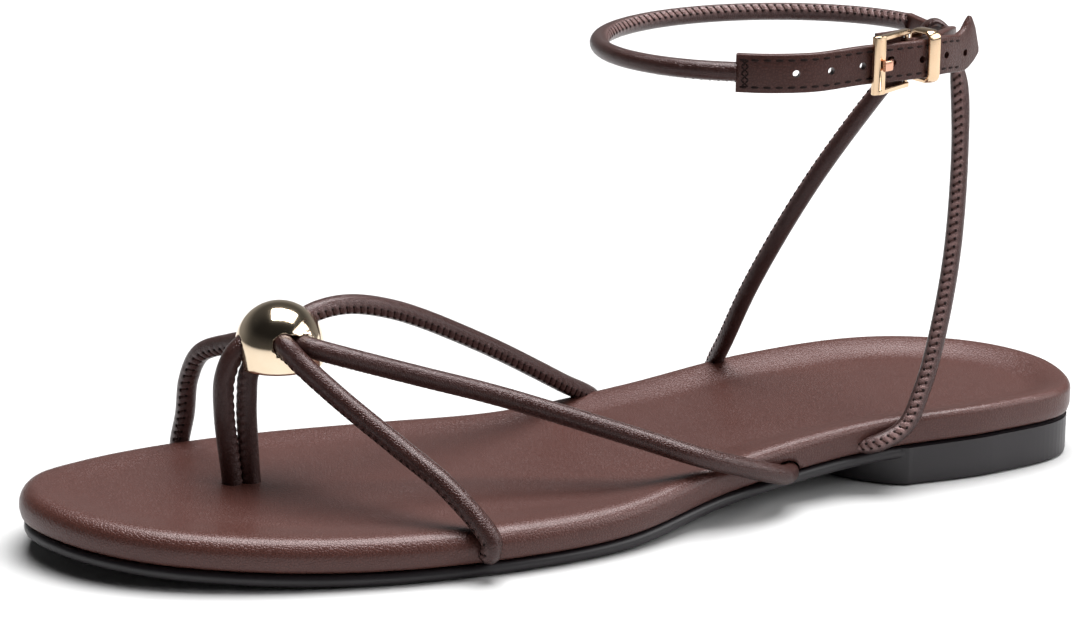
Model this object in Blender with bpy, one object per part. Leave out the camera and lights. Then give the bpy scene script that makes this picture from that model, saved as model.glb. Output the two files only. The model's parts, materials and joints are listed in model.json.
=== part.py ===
"""A flat toe post sandal for the left foot: rolled leather cords, one metal bead, a buckled ankle ring.

The toe points to -Y, the lateral side is +X and the sole stands on z = 0. Sizes below are in
millimetres. A station is a distance along the sole, measured from the back of the heel.
"""
import math

import bmesh
import bpy
import numpy as np
from mathutils import Matrix, Vector

MM = 0.001
GAP = 0.3

# Sole: outline and feather line, the line where footbed and outsole meet.
SOLE_LENGTH = 250.0
HEEL_TIP_LATERAL = 2.9
TOE_TIP_LATERAL = -8.8
OUTLINE_POINTS = 72
# fraction of length, half width to the lateral edge, to the medial edge, height of the feather line
SOLE_SECTIONS = (
    (0.03, 23.8, 16.6, 9.7),
    (0.12, 29.9, 30.3, 10.0),
    (0.26, 28.7, 32.8, 9.1),
    (0.40, 33.0, 30.4, 6.2),
    (0.52, 42.6, 32.2, 3.4),
    (0.64, 44.3, 37.2, 3.1),
    (0.75, 40.4, 40.4, 3.2),
    (0.85, 32.5, 37.9, 4.2),
    (0.93, 21.2, 30.8, 5.5),
    (0.98, 7.3, 22.1, 6.6),
)
HEEL_FEATHER = 9.6
TOE_FEATHER = 6.9

OUTSOLE_THICKNESS = 3.2
OUTSOLE_INSET = 1.4
TREAD_EDGE = 0.7
# The heel block ends in a rounded breast: its stations at the sole's edge and in the middle.
HEEL_INSET = 0.6
HEEL_TOP_DROP = 0.6
HEEL_EDGE_STATION = 53.0
HEEL_BREAST_STATION = 70.0
BREAST_POINTS = 13
# An ellipse has power 1; more makes the breast's corners at the sole's edge crisper.
BREAST_POWER = 1.5

FOOTBED_THICKNESS = 7.2
FOOTBED_EDGE_RADIUS = 4.0
FOOTBED_DISH = 1.3
# The side turns in under the footbed: inset from the outline, rise over the feather line.
FOOTBED_TURN_IN = ((1.6, 0.0), (0.5, 0.7), (0.0, 2.4))
EDGE_ROLL_ANGLES = (0, 25, 50, 72, 90)

# Rolled cords: the front ones are a little stouter than the uprights.
CORD_RADIUS = 2.25
UPRIGHT_RADIUS = 2.0
RING_CORD_RADIUS = 2.05
TUCKED_RADIUS = 1.1
CORD_STEP = 3.6
CUTTER_OVERRUN = 1.5
WELD_DISTANCE = 0.01
# A tucked end lies this far under the footbed's side, at a height over the feather line.
TUCK_LENGTH = 6.0
TUCKED_HEIGHT = 1.7

# Bead over the toe post.
BEAD_LATERAL = -7.3
BEAD_STATION = 191.6
BEAD_HEIGHT = 40.6
BEAD_RADIUS = 9.7
BEAD_WALL = 1.1
BEAD_SKIRT = 4.3
SKIRT_CUT_DEPTH = 10.0
KNOT_RADIUS = 5.2
POST_FRONT_STATION = 203.4
POST_REAR_STATION = 198.7

# Ankle ring: a level oval behind the instep. Its angle runs from the back towards the lateral side.
RING_LATERAL = 0.5
RING_STATION = 75.7
RING_HEIGHT = 100.4
BUCKLE_HEIGHT = 100.6
RING_HALF_WIDTH = 35.5
RING_HALF_LENGTH = 40.2
RING_CORD_POINTS = 24
# The ring's cord stops this many degrees short of the tab and of the strap.
CORD_END_ANGLE = 0.7

# Flat strap, from the ring cord's end through the buckle and keeper to its free tip.
STRAP_HALF_HEIGHT = 4.2
STRAP_THICKNESS = 1.8
STRAP_STEP = 2.5
STRAP_START_ANGLE = 126.5
# angle round the ring, stand-off of the strap's middle from the ring line, height of its middle
STRAP_PATH = (
    (STRAP_START_ANGLE, 0.0, 100.2),
    (118.5, 1.0, 100.3),
    (109.0, 1.5, 100.4),
    (101.5, 1.4, 100.5),
    (87.0, 0.8, BUCKLE_HEIGHT),
    (76.5, 1.3, BUCKLE_HEIGHT),
    (68.0, 2.5, BUCKLE_HEIGHT),
    (61.5, 3.2, BUCKLE_HEIGHT),
    (56.0, 3.9, BUCKLE_HEIGHT),
    (47.0, 4.9, 100.5),
    (39.0, 7.0, 100.5),
)
# distance before the tip, lower edge and upper edge from the strap's middle, thickness
STRAP_TIP = (
    (8.0, -STRAP_HALF_HEIGHT, STRAP_HALF_HEIGHT, STRAP_THICKNESS),
    (5.6, -4.1, 5.2, 1.7),
    (4.2, -3.8, 6.9, 1.6),
    (3.2, -3.4, 7.9, 1.4),
    (1.7, -2.6, 5.6, 1.3),
    (0.6, -1.7, 2.6, 1.2),
    (0.0, -1.1, 0.8, 1.2),
)
HOLE_RADIUS = 0.8
HOLE_PITCH = 7.8
HOLE_COUNT = 7
FIRST_HOLE_FROM_START = 12.7

# Tab that carries the buckle, with its fold round the hinge bar and a thin guard behind the frame.
TAB_THICKNESS = 2.0
TAB_SECTIONS = 22
GUARD_SECTIONS = 8
TAB_END_ANGLE = -12.0
HINGE_ANGLE = 68.0
# angle round the ring, stand-off of the tab's middle, half height, height of its middle
TAB_PATH = (
    (TAB_END_ANGLE, 0.0, 2.1, RING_HEIGHT),
    (8.0, 0.0, 2.6, 99.1),
    (25.0, 0.5, 3.4, 99.2),
    (42.0, 1.1, 4.1, 100.4),
    (58.0, 1.0, STRAP_HALF_HEIGHT, BUCKLE_HEIGHT),
    (HINGE_ANGLE, 0.0, STRAP_HALF_HEIGHT, BUCKLE_HEIGHT),
)
FOLD_RADIUS = 1.35
GUARD_THICKNESS = 0.8
GUARD_STAND_OFF = -0.9
GUARD_HALF_HEIGHT = 5.0
GUARD_END_ANGLE = 84.0

# Buckle and keeper.
HINGE_STAND_OFF = -0.1
HINGE_RADIUS = 0.5
HINGE_CLEARANCE = 0.2
FRONT_BAR_ANGLE = 82.8
FRONT_BAR_STAND_OFF = 2.8
FRONT_BAR_WIDTH = 3.0
FRONT_BAR_THICKNESS = 1.3
SIDE_BAR_HEIGHT = 0.9
SIDE_BAR_THICKNESS = 1.6
FRAME_HALF_HEIGHT = 6.2
PRONG_THICKNESS = 0.8
PRONG_HALF_HEIGHT = 1.2
# Turns of the prong's curl round the hinge bar, counted from the way to its blade.
CURL_START, CURL_END, CURL_POINTS = -340, -90, 11
PRONG_SECTIONS = 30
# angle round the ring, stand-off: under the strap, up through its hole, down on the front bar
PRONG_PATH = (
    (73.0, 0.5),
    (75.8, 0.7),
    (77.6, 2.2),
    (79.1, 3.7),
    (FRONT_BAR_ANGLE - 0.6, 4.2),
)
KEEPER_ANGLE = 62.0
KEEPER_TURN = -16.0
KEEPER_WIDTH = 3.0
KEEPER_THICKNESS = 0.9
KEEPER_HALF_HEIGHT = 5.9
KEEPER_ROOM = 0.5
BAR_EDGE = 0.3


def smooth(points, count, closed=False):
    """Spread points evenly along a smooth curve through a few given ones."""
    knots = np.array(points, float)
    if closed:
        knots = np.vstack((knots[-1:], knots, knots[:2]))
    steps = np.sqrt(np.linalg.norm(np.diff(knots, axis=0), axis=1))
    at = np.concatenate(([0.0], np.cumsum(steps)))
    slopes = np.gradient(knots, at, axis=0)
    first, last = (1, len(at) - 2) if closed else (0, len(at) - 1)
    fine = np.linspace(at[first], at[last], 24 * count)
    left = np.clip(np.searchsorted(at, fine, side="right") - 1, first, last - 1)
    width = (at[left + 1] - at[left])[:, None]
    t = (fine - at[left])[:, None] / width
    curve = ((2 * t**3 - 3 * t**2 + 1) * knots[left] + (t**3 - 2 * t**2 + t) * width * slopes[left]
             + (3 * t**2 - 2 * t**3) * knots[left + 1] + (t**3 - t**2) * width * slopes[left + 1])
    run = np.concatenate(([0.0], np.cumsum(np.linalg.norm(np.diff(curve, axis=0), axis=1))))
    wanted = np.linspace(0.0, run[-1], count + closed)[:count]
    return np.stack([np.interp(wanted, run, axis) for axis in curve.T], axis=1)


def path_length(points):
    return float(np.linalg.norm(np.diff(np.array(points, float), axis=0), axis=1).sum())


def place(lateral, station, height):
    """World position, in metres, of a point given by lateral offset, station and height."""
    return Vector((lateral, SOLE_LENGTH / 2 - station, height)) * MM


def side_normals(path, closed=False):
    """Unit normals, to the right of travel, of a path seen from above with stations running down."""
    path = np.array(path, float)
    if closed:
        run = np.roll(path, -1, axis=0) - np.roll(path, 1, axis=0)
    else:
        run = np.gradient(path, axis=0)
    normal = np.stack((run[:, 1], -run[:, 0]), axis=1)
    return normal / np.linalg.norm(normal, axis=1)[:, None]


def sole_outline():
    """Footbed outline from above, once round from the heel tip along the lateral side."""
    lateral = [(half, part * SOLE_LENGTH) for part, half, _, _ in SOLE_SECTIONS]
    medial = [(-half, part * SOLE_LENGTH) for part, _, half, _ in reversed(SOLE_SECTIONS)]
    knots = [(HEEL_TIP_LATERAL, 0.0)] + lateral + [(TOE_TIP_LATERAL, SOLE_LENGTH)] + medial
    return smooth(knots, OUTLINE_POINTS, closed=True)


OUTLINE = sole_outline()
OUTLINE_NORMALS = side_normals(OUTLINE, closed=True)
FEATHER_LINE = smooth(
    [(0.0, HEEL_FEATHER)]
    + [(part * SOLE_LENGTH, height) for part, _, _, height in SOLE_SECTIONS]
    + [(SOLE_LENGTH, TOE_FEATHER)], 120)


def feather(station):
    """Height of the feather line at a station."""
    return np.interp(station, FEATHER_LINE[:, 0], FEATHER_LINE[:, 1])


def edge_point(side, station, outward, height):
    """Point beside the sole's edge: side is 1 lateral or -1 medial, height is over the feather line."""
    on_side = [i for i in range(OUTLINE_POINTS) if OUTLINE_NORMALS[i, 0] * side > 0.3]
    nearest = min(on_side, key=lambda i: abs(OUTLINE[i, 1] - station))
    step = 1 if OUTLINE[nearest, 1] * side < station * side else -1
    other = (nearest + step) % OUTLINE_POINTS
    share = (station - OUTLINE[nearest, 1]) / (OUTLINE[other, 1] - OUTLINE[nearest, 1])
    lateral = OUTLINE[nearest, 0] + share * (OUTLINE[other, 0] - OUTLINE[nearest, 0])
    out_x, out_station = OUTLINE_NORMALS[nearest] * outward
    return lateral + out_x, station + out_station, float(feather(station)) + height


def clear_scene():
    for item in list(bpy.data.objects):
        bpy.data.objects.remove(item, do_unlink=True)


def new_collection(name):
    group = bpy.data.collections.new(name)
    bpy.context.scene.collection.children.link(group)
    return group


def paint(name, colour, roughness, metallic=0.0):
    """A Principled material with one colour, given as linear red, green and blue."""
    material = bpy.data.materials.new(name)
    material.use_nodes = True
    shader = material.node_tree.nodes["Principled BSDF"]
    shader.inputs["Base Color"].default_value = (*colour, 1.0)
    shader.inputs["Roughness"].default_value = roughness
    shader.inputs["Metallic"].default_value = metallic
    return material


def keep(name, mesh, group, material=None):
    """Put a mesh into the scene as a named object of a collection, under the sandal's root."""
    item = bpy.data.objects.new(name, mesh)
    group.objects.link(item)
    item.parent = ROOT
    if group is CUTTERS:
        item.hide_render = True
        item.display_type = "WIRE"
    else:
        mesh.materials.clear()
        mesh.materials.append(material)
        mesh.shade_smooth()
        mesh.set_sharp_from_angle(angle=math.radians(35))
    return item


def boolean(item, operation, other):
    modifier = item.modifiers.new(f"{operation} {other.name}", "BOOLEAN")
    modifier.operation = operation
    modifier.object = other


def mesh_from(name, work):
    bmesh.ops.recalc_face_normals(work, faces=work.faces)
    mesh = bpy.data.meshes.new(name)
    work.to_mesh(mesh)
    work.free()
    return mesh


def loft(name, rings, closed_ends=True):
    """Skin a row of rings with equal point counts. A ring of one point closes to a tip."""
    work = bmesh.new()
    rows = [[work.verts.new(point) for point in ring] for ring in rings]
    for low, high in zip(rows, rows[1:]):
        count = max(len(low), len(high))
        for i in range(count):
            j = (i + 1) % count
            if len(low) == 1:
                work.faces.new((low[0], high[j], high[i]))
            elif len(high) == 1:
                work.faces.new((low[i], low[j], high[0]))
            else:
                work.faces.new((low[i], low[j], high[j], high[i]))
    if closed_ends:
        for row in (rows[0], rows[-1]):
            if len(row) > 2:
                work.faces.new(row)
    return mesh_from(name, work)


def outline_ring(inset, height_at):
    """Ring inside the sole's outline, with its height given by a function of station."""
    ring = OUTLINE - OUTLINE_NORMALS * inset
    return [place(lateral, station, height_at(station)) for lateral, station in ring]


def inner_ring(share, inset, height_at):
    """Ring drawn in towards the middle of the sole; share 0 is the middle itself."""
    middle = np.array((0.0, SOLE_LENGTH / 2))
    ring = middle + (OUTLINE - OUTLINE_NORMALS * inset - middle) * share
    points = [place(lateral, station, height_at(station)) for lateral, station in ring]
    return points[:1] if share == 0 else points


INNER_SHARES = (0.85, 0.6, 0.3, 0.0)


def make_footbed(material):
    """Padded footbed: flat underneath, side rolled into a soft top edge, top slightly dished."""
    underneath = FOOTBED_TURN_IN[0][0]
    rings = [inner_ring(share, underneath, feather) for share in reversed(INNER_SHARES)]
    for inset, rise in FOOTBED_TURN_IN:
        rings.append(outline_ring(inset, lambda station, rise=rise: feather(station) + rise))
    shoulder = FOOTBED_THICKNESS - FOOTBED_EDGE_RADIUS
    for angle in EDGE_ROLL_ANGLES:
        inset = FOOTBED_EDGE_RADIUS * (1 - math.cos(math.radians(angle)))
        rise = shoulder + FOOTBED_EDGE_RADIUS * math.sin(math.radians(angle))
        rings.append(outline_ring(inset, lambda station, rise=rise: feather(station) + rise))
    for share in INNER_SHARES:
        rise = FOOTBED_THICKNESS - FOOTBED_DISH * (1 - share**4)
        rings.append(inner_ring(share, FOOTBED_EDGE_RADIUS,
                                lambda station, rise=rise: feather(station) + rise))
    return keep("footbed", loft("footbed", rings), PARTS, material)


def underside(station):
    """Tread height: on the floor under the ball, lifted at the toe and under the arch."""
    return np.maximum(feather(station) - OUTSOLE_THICKNESS, 0.0)


def heel_ring(inset, height_at):
    """Ring round the heel block: the sole's outline behind, closed by the rounded breast in front."""
    ring = OUTLINE - OUTLINE_NORMALS * inset
    behind = ring[:, 1] < HEEL_EDGE_STATION
    count = OUTLINE_POINTS // 2
    lateral, medial = ring[:count][behind[:count]], ring[count:][behind[count:]]
    corners = [edge_point(side, HEEL_EDGE_STATION, -inset, 0.0)[0] for side in (1, -1)]
    middle, half_width = sum(corners) / 2, (corners[0] - corners[1]) / 2
    bulge = HEEL_BREAST_STATION - HEEL_EDGE_STATION
    breast = [(middle + half_width * math.cos(turn),
               HEEL_EDGE_STATION + bulge * max(math.sin(turn), 0.0)**BREAST_POWER)
              for turn in np.radians(np.linspace(0, 180, BREAST_POINTS))]
    return [place(*spot, height_at(spot[1])) for spot in (*lateral, *breast, *medial)]


def make_outsole(material):
    """Moulded outsole in one piece with its low heel block."""
    def top(station):
        return feather(station) - GAP
    rings = [inner_ring(share, OUTSOLE_INSET + TREAD_EDGE, top) for share in reversed(INNER_SHARES)]
    rings.append(outline_ring(OUTSOLE_INSET + TREAD_EDGE, top))
    rings.append(outline_ring(OUTSOLE_INSET, lambda station: top(station) - TREAD_EDGE))
    rings.append(outline_ring(OUTSOLE_INSET, lambda station: underside(station) + TREAD_EDGE))
    rings.append(outline_ring(OUTSOLE_INSET + TREAD_EDGE, underside))
    rings += [inner_ring(share, OUTSOLE_INSET + TREAD_EDGE, underside) for share in INNER_SHARES]
    outsole = keep("outsole", loft("outsole", rings), PARTS, material)

    levels = [heel_ring(HEEL_INSET + TREAD_EDGE, lambda station: 0.0),
              heel_ring(HEEL_INSET, lambda station: TREAD_EDGE),
              heel_ring(HEEL_INSET, lambda station: feather(station) - HEEL_TOP_DROP)]
    boolean(outsole, "UNION", keep("heel block", loft("heel block", levels), CUTTERS))
    return outsole


def cord_rows(route, radii):
    """Evenly spread lateral offset, station, height and radius along a cord's route."""
    rows = np.column_stack((np.array(route, float), radii))
    return smooth(rows, max(6, round(path_length(route) / CORD_STEP)))


def cord_mesh(name, rows):
    """Closed round cord through rows of lateral offset, station, height and radius."""
    curve = bpy.data.curves.new(name, "CURVE")
    curve.dimensions = "3D"
    curve.bevel_depth = MM
    curve.bevel_resolution = 2
    curve.use_fill_caps = True
    spline = curve.splines.new("POLY")
    spline.points.add(len(rows) - 1)
    for point, (lateral, station, height, radius) in zip(spline.points, rows):
        point.co = (*place(lateral, station, height), 1.0)
        point.radius = radius
    guide = bpy.data.objects.new(name, curve)
    CUTTERS.objects.link(guide)
    bpy.context.view_layer.update()
    mesh = bpy.data.meshes.new_from_object(guide.evaluated_get(bpy.context.evaluated_depsgraph_get()))
    bpy.data.objects.remove(guide, do_unlink=True)
    work = bmesh.new()
    work.from_mesh(mesh)
    bmesh.ops.remove_doubles(work, verts=work.verts, dist=WELD_DISTANCE * MM)
    bpy.data.meshes.remove(mesh)
    return mesh_from(name, work)


def fat_cord(name, rows):
    """Cutter that leaves the gap round a cord and runs a little past both its ends."""
    first = rows[0] - CUTTER_OVERRUN * (rows[1] - rows[0]) / CORD_STEP
    last = rows[-1] + CUTTER_OVERRUN * (rows[-1] - rows[-2]) / CORD_STEP
    wider = np.vstack((first, rows, last)) + np.array((0, 0, 0, GAP))
    return keep(f"room for {name}", cord_mesh(name, wider), CUTTERS)


def tuck(side, station, outward, height):
    """Last points of a cord: down the side of the footbed, then in over the feather line."""
    return [edge_point(side, station, outward, height),
            edge_point(side, station, outward / 2, (height + TUCKED_HEIGHT) / 2),
            edge_point(side, station, -TUCK_LENGTH, TUCKED_HEIGHT)]


KNOT = (BEAD_LATERAL, BEAD_STATION, BEAD_HEIGHT)

# Front cords: lateral offset, station and height of the points between bead and sole edge.
FRONT_CORDS = {
    "toe_loop": [KNOT, (-15.0, 195.3, 39.6), (-22.0, 198.4, 37.4), (-31.0, 202.7, 33.0),
                 (-35.0, 204.5, 26.0), (-37.0, 205.0, 17.5)] + tuck(-1, 205.6, 0.2, 6.0),
    "front_lateral": [KNOT, (-3.0, 193.0, 42.4), (1.7, 194.2, 42.3), (5.0, 190.3, 37.6),
                      (8.6, 183.4, 33.0), (24.0, 175.5, 25.3), (36.0, 169.2, 18.2)]
                     + tuck(1, 164.0, 1.3, 6.0),
    "rear_lateral": [KNOT, (-2.9, 189.8, 42.0), (1.7, 188.4, 42.1), (4.4, 183.4, 40.6),
                     (9.0, 165.9, 34.9), (14.2, 148.4, 29.4), (27.8, 121.0, 20.4), (35.0, 108.5, 16.3),
                     (33.8, 97.5, 12.0), (30.6, 87.0, 9.4), (24.0, 80.0, 9.3)],
    "medial": [KNOT, (-8.6, 185.6, 45.4), (-11.3, 176.1, 46.6), (-14.6, 163.0, 43.3),
               (-20.9, 138.9, 30.9), (-26.8, 116.0, 16.7)] + tuck(-1, 106.5, 0.3, 4.6),
    "post_front": [KNOT, (-7.3, 197.2, 42.4), (-7.3, 201.6, 40.0), (-7.3, 204.3, 34.5),
                   (-7.3, 204.7, 26.0), (-7.3, POST_FRONT_STATION, 11.0), (-7.3, POST_FRONT_STATION, 4.2)],
    "post_rear": [KNOT, (-7.3, 197.0, 36.0), (-7.3, 198.3, 29.0), (-7.3, POST_REAR_STATION, 19.0),
                  (-7.3, POST_REAR_STATION, 4.2)],
}
POSTS = ("post_front", "post_rear")
# Straight cuts that make the bead's openings: the notch over the post, the slot for the lateral straps.
BEAD_CUTS = {
    "post notch": [(-7.3, 195.0, 40.2), (-7.3, 205.0, 40.2)],
    "post notch foot": [(-7.3, 195.0, 36.6), (-7.3, 205.0, 36.6)],
    "lateral slot": [(-3.0, 191.3, 42.3), (6.0, 191.3, 42.3)],
}


def cord_radii(name, route, radius):
    """Full radius along a cord; a cord that is tucked under the footbed thins at its end."""
    radii = [radius] * len(route)
    if name not in POSTS:
        radii[-1] = TUCKED_RADIUS
    return radii


def make_front_straps(material, footbed, bead):
    """Toe loop, post and instep straps, joined in a knot that the bead hides."""
    knot = bmesh.new()
    bmesh.ops.create_uvsphere(knot, u_segments=14, v_segments=8, radius=KNOT_RADIUS * MM,
                              matrix=Matrix.Translation(place(*KNOT)))
    straps = keep("front_straps", mesh_from("front_straps", knot), PARTS, material)
    for name, route in FRONT_CORDS.items():
        rows = cord_rows(route, cord_radii(name, route, CORD_RADIUS))
        boolean(straps, "UNION", keep(f"{name} cord", cord_mesh(name, rows), CUTTERS))
        room = fat_cord(name, rows)
        boolean(footbed, "DIFFERENCE", room)
        boolean(bead, "DIFFERENCE", room)
    for name, route in BEAD_CUTS.items():
        boolean(bead, "DIFFERENCE", fat_cord(name, cord_rows(route, [CORD_RADIUS] * len(route))))
    return straps


def make_bead(material):
    """Hollow polished ball, open below, that is slipped over the knot."""
    def ball(name, radius):
        work = bmesh.new()
        bmesh.ops.create_uvsphere(work, u_segments=28, v_segments=16, radius=radius * MM,
                                  matrix=Matrix.Translation(place(*KNOT)))
        return mesh_from(name, work)
    bead = keep("bead", ball("bead", BEAD_RADIUS), PARTS, material)
    boolean(bead, "DIFFERENCE", keep("bead hollow", ball("bead hollow", BEAD_RADIUS - BEAD_WALL), CUTTERS))
    below = bmesh.new()
    bmesh.ops.create_cube(below, size=1.0)
    cut = Vector((3 * BEAD_RADIUS, 3 * BEAD_RADIUS, SKIRT_CUT_DEPTH)) * MM
    bmesh.ops.scale(below, vec=cut, verts=below.verts)
    under = place(BEAD_LATERAL, BEAD_STATION, BEAD_HEIGHT - BEAD_SKIRT - SKIRT_CUT_DEPTH / 2)
    bmesh.ops.translate(below, vec=under, verts=below.verts)
    boolean(bead, "DIFFERENCE", keep("bead skirt", mesh_from("bead skirt", below), CUTTERS))
    return bead


def ring_at(angle, stand_off=0.0):
    """Plan position on the ankle ring, as lateral offset and station, moved outwards by a stand-off."""
    turn = math.radians(angle)
    out = np.array((math.sin(turn) / RING_HALF_WIDTH, -math.cos(turn) / RING_HALF_LENGTH))
    on_ring = np.array((RING_LATERAL + RING_HALF_WIDTH * math.sin(turn),
                        RING_STATION - RING_HALF_LENGTH * math.cos(turn)))
    return on_ring + stand_off * out / np.linalg.norm(out)


def ring_frame(angle, stand_off):
    """Matrix of a spot at the buckle's height: X along the ring towards the toe, Y outwards, Z up."""
    here = place(*ring_at(angle, stand_off), BUCKLE_HEIGHT)
    along = (place(*ring_at(angle + 0.5, stand_off), BUCKLE_HEIGHT) - here).normalized()
    up = Vector((0, 0, 1))
    out = up.cross(along)
    frame = Matrix((along, out, up)).transposed().to_4x4()
    return Matrix.Translation(here) @ frame


def block(size, frame=None):
    """Box of a length, depth and height in millimetres with softened edges, set in a frame."""
    work = bmesh.new()
    bmesh.ops.create_cube(work, size=1.0)
    bmesh.ops.scale(work, vec=Vector(size) * MM, verts=work.verts)
    bmesh.ops.bevel(work, geom=work.edges[:], offset=BAR_EDGE * MM, segments=1, affect="EDGES")
    if frame is not None:
        bmesh.ops.transform(work, matrix=frame, verts=work.verts)
    return mesh_from("block", work)


def ribbon(name, path, lower, upper, thickness):
    """Flat strip that stands on edge along a plan path, between the heights of its two edges."""
    normals = side_normals(path)
    shape = np.broadcast(np.array(path)[:, 0], lower, upper, thickness)
    rings = []
    for spot, normal, (_, low, high, thick) in zip(np.array(path), normals, shape):
        inner, outer = spot - normal * thick / 2, spot + normal * thick / 2
        rings.append([place(*inner, low), place(*outer, low), place(*outer, high), place(*inner, high)])
    return loft(name, rings)


def strap_route():
    """Plan path and middle height of the flat strap, and how far along it each point lies."""
    knots = [(*ring_at(angle, stand_off), height) for angle, stand_off, height in STRAP_PATH]
    dense = smooth(knots, 200)
    along = np.concatenate(([0.0], np.cumsum(np.linalg.norm(np.diff(dense, axis=0), axis=1))))
    tip = along[-1] - np.array([row[0] for row in STRAP_TIP])
    run = np.concatenate((np.linspace(0, tip[0], round(tip[0] / STRAP_STEP))[:-1], tip))
    return np.stack([np.interp(run, along, axis) for axis in dense.T], axis=1), run


def make_ankle_strap(material):
    """Flat two-ply strap with a row of punched holes and a rounded free tip."""
    route, run = strap_route()
    path, middle = route[:, :2], route[:, 2]
    before, lower, upper, thickness = np.array(STRAP_TIP).T
    low, high, thick = (np.interp(run, run[-1] - before, column) for column in (lower, upper, thickness))
    ply = ribbon("ankle_strap", path, middle + low, middle + high, thick)
    strap = keep("ankle_strap", ply, PARTS, material)
    normals = side_normals(path)
    for hole in range(HOLE_COUNT):
        at = FIRST_HOLE_FROM_START + hole * HOLE_PITCH
        spot = place(*[np.interp(at, run, column) for column in route.T])
        out = Vector((np.interp(at, run, normals[:, 0]), -np.interp(at, run, normals[:, 1]), 0))
        punch = bmesh.new()
        turn = Vector((0, 0, 1)).rotation_difference(out).to_matrix().to_4x4()
        bmesh.ops.create_cone(punch, cap_ends=True, segments=10, radius1=HOLE_RADIUS * MM,
                              radius2=HOLE_RADIUS * MM, depth=3 * STRAP_THICKNESS * MM,
                              matrix=Matrix.Translation(spot) @ turn)
        boolean(strap, "DIFFERENCE", keep(f"strap hole {hole}", mesh_from("punch", punch), CUTTERS))
    return strap


def make_buckle_tab(material):
    """Flat tab round the back of the ankle: folded over the hinge bar, a thin guard behind the buckle."""
    knots = [(*ring_at(angle, stand_off), half, middle) for angle, stand_off, half, middle in TAB_PATH]
    rows = smooth(knots, TAB_SECTIONS)
    path, half, middle = rows[:, :2], rows[:, 2], rows[:, 3]
    strip = ribbon("buckle_tab", path, middle - half, middle + half, TAB_THICKNESS)
    tab = keep("buckle_tab", strip, PARTS, material)

    guard_angles = np.linspace(HINGE_ANGLE, GUARD_END_ANGLE, GUARD_SECTIONS)
    path = [ring_at(angle, GUARD_STAND_OFF) for angle in guard_angles]
    guard = ribbon("guard", path, BUCKLE_HEIGHT - GUARD_HALF_HEIGHT, BUCKLE_HEIGHT + GUARD_HALF_HEIGHT,
                   GUARD_THICKNESS)
    boolean(tab, "UNION", keep("guard", guard, CUTTERS))

    hinge = ring_frame(HINGE_ANGLE, HINGE_STAND_OFF)
    def upright_rod(name, radius, height):
        work = bmesh.new()
        bmesh.ops.create_cone(work, cap_ends=True, segments=16, radius1=radius * MM, radius2=radius * MM,
                              depth=height * MM, matrix=hinge)
        return keep(name, mesh_from(name, work), CUTTERS)
    boolean(tab, "UNION", upright_rod("fold", FOLD_RADIUS, 2 * STRAP_HALF_HEIGHT))
    bore = HINGE_RADIUS + HINGE_CLEARANCE
    boolean(tab, "DIFFERENCE", upright_rod("hinge bore", bore, 3 * STRAP_HALF_HEIGHT))
    slot_height = 2 * PRONG_HALF_HEIGHT + 2 * GAP
    slot_reach = HINGE_RADIUS + HINGE_CLEARANCE + PRONG_THICKNESS + GAP
    boolean(tab, "DIFFERENCE", upright_rod("prong slot", slot_reach, slot_height))
    return tab


def make_buckle_frame(material):
    """Cast frame: a flat front bar over the strap, two side bars, and the hinge bar in the tab's fold."""
    front = ring_frame(FRONT_BAR_ANGLE, FRONT_BAR_STAND_OFF)
    hinge = ring_frame(HINGE_ANGLE, HINGE_STAND_OFF)
    bar = block((FRONT_BAR_WIDTH, FRONT_BAR_THICKNESS, 2 * FRAME_HALF_HEIGHT), front)
    frame = keep("buckle_frame", bar, PARTS, material)
    span = front.translation - hinge.translation
    along = span.normalized()
    level = Matrix((along, Vector((0, 0, 1)).cross(along), Vector((0, 0, 1)))).transposed().to_4x4()
    reach = span.length / MM + 2 * HINGE_RADIUS
    for side, up in (("top", 1), ("bottom", -1)):
        lift = Vector((0, 0, up * (FRAME_HALF_HEIGHT - SIDE_BAR_HEIGHT / 2) * MM))
        middle = Matrix.Translation((front.translation + hinge.translation) / 2 + lift) @ level
        arm = block((reach, SIDE_BAR_THICKNESS, SIDE_BAR_HEIGHT), middle)
        boolean(frame, "UNION", keep(f"{side} side bar", arm, CUTTERS))
    rod = bmesh.new()
    bmesh.ops.create_cone(rod, cap_ends=True, segments=12, radius1=HINGE_RADIUS * MM,
                          radius2=HINGE_RADIUS * MM, matrix=hinge,
                          depth=2 * (FRAME_HALF_HEIGHT - SIDE_BAR_HEIGHT / 2) * MM)
    boolean(frame, "UNION", keep("hinge bar", mesh_from("hinge bar", rod), CUTTERS))
    return frame


def prong_route():
    """Plan path of the prong: round the hinge bar, out through a strap hole, on to the front bar."""
    hinge = ring_at(HINGE_ANGLE, HINGE_STAND_OFF)
    blade = [ring_at(angle, stand_off) for angle, stand_off in PRONG_PATH]
    middle_radius = HINGE_RADIUS + HINGE_CLEARANCE + PRONG_THICKNESS / 2
    to_blade = math.atan2(blade[0][1] - hinge[1], blade[0][0] - hinge[0])
    curl = [hinge + middle_radius * np.array((math.cos(to_blade + turn), math.sin(to_blade + turn)))
            for turn in np.radians(np.linspace(CURL_START, CURL_END, CURL_POINTS))]
    return smooth(curl + blade, PRONG_SECTIONS)


def make_buckle_prong(material, strap):
    """Flat prong that hooks round the hinge bar; the strap gets room where it comes through."""
    path = prong_route()
    low, high = BUCKLE_HEIGHT - PRONG_HALF_HEIGHT, BUCKLE_HEIGHT + PRONG_HALF_HEIGHT
    prong = keep("buckle_prong", ribbon("prong", path, low, high, PRONG_THICKNESS), PARTS, material)
    room = ribbon("prong room", path, low - GAP, high + GAP, PRONG_THICKNESS + 2 * GAP)
    boolean(strap, "DIFFERENCE", keep("room for prong", room, CUTTERS))
    return prong


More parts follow.
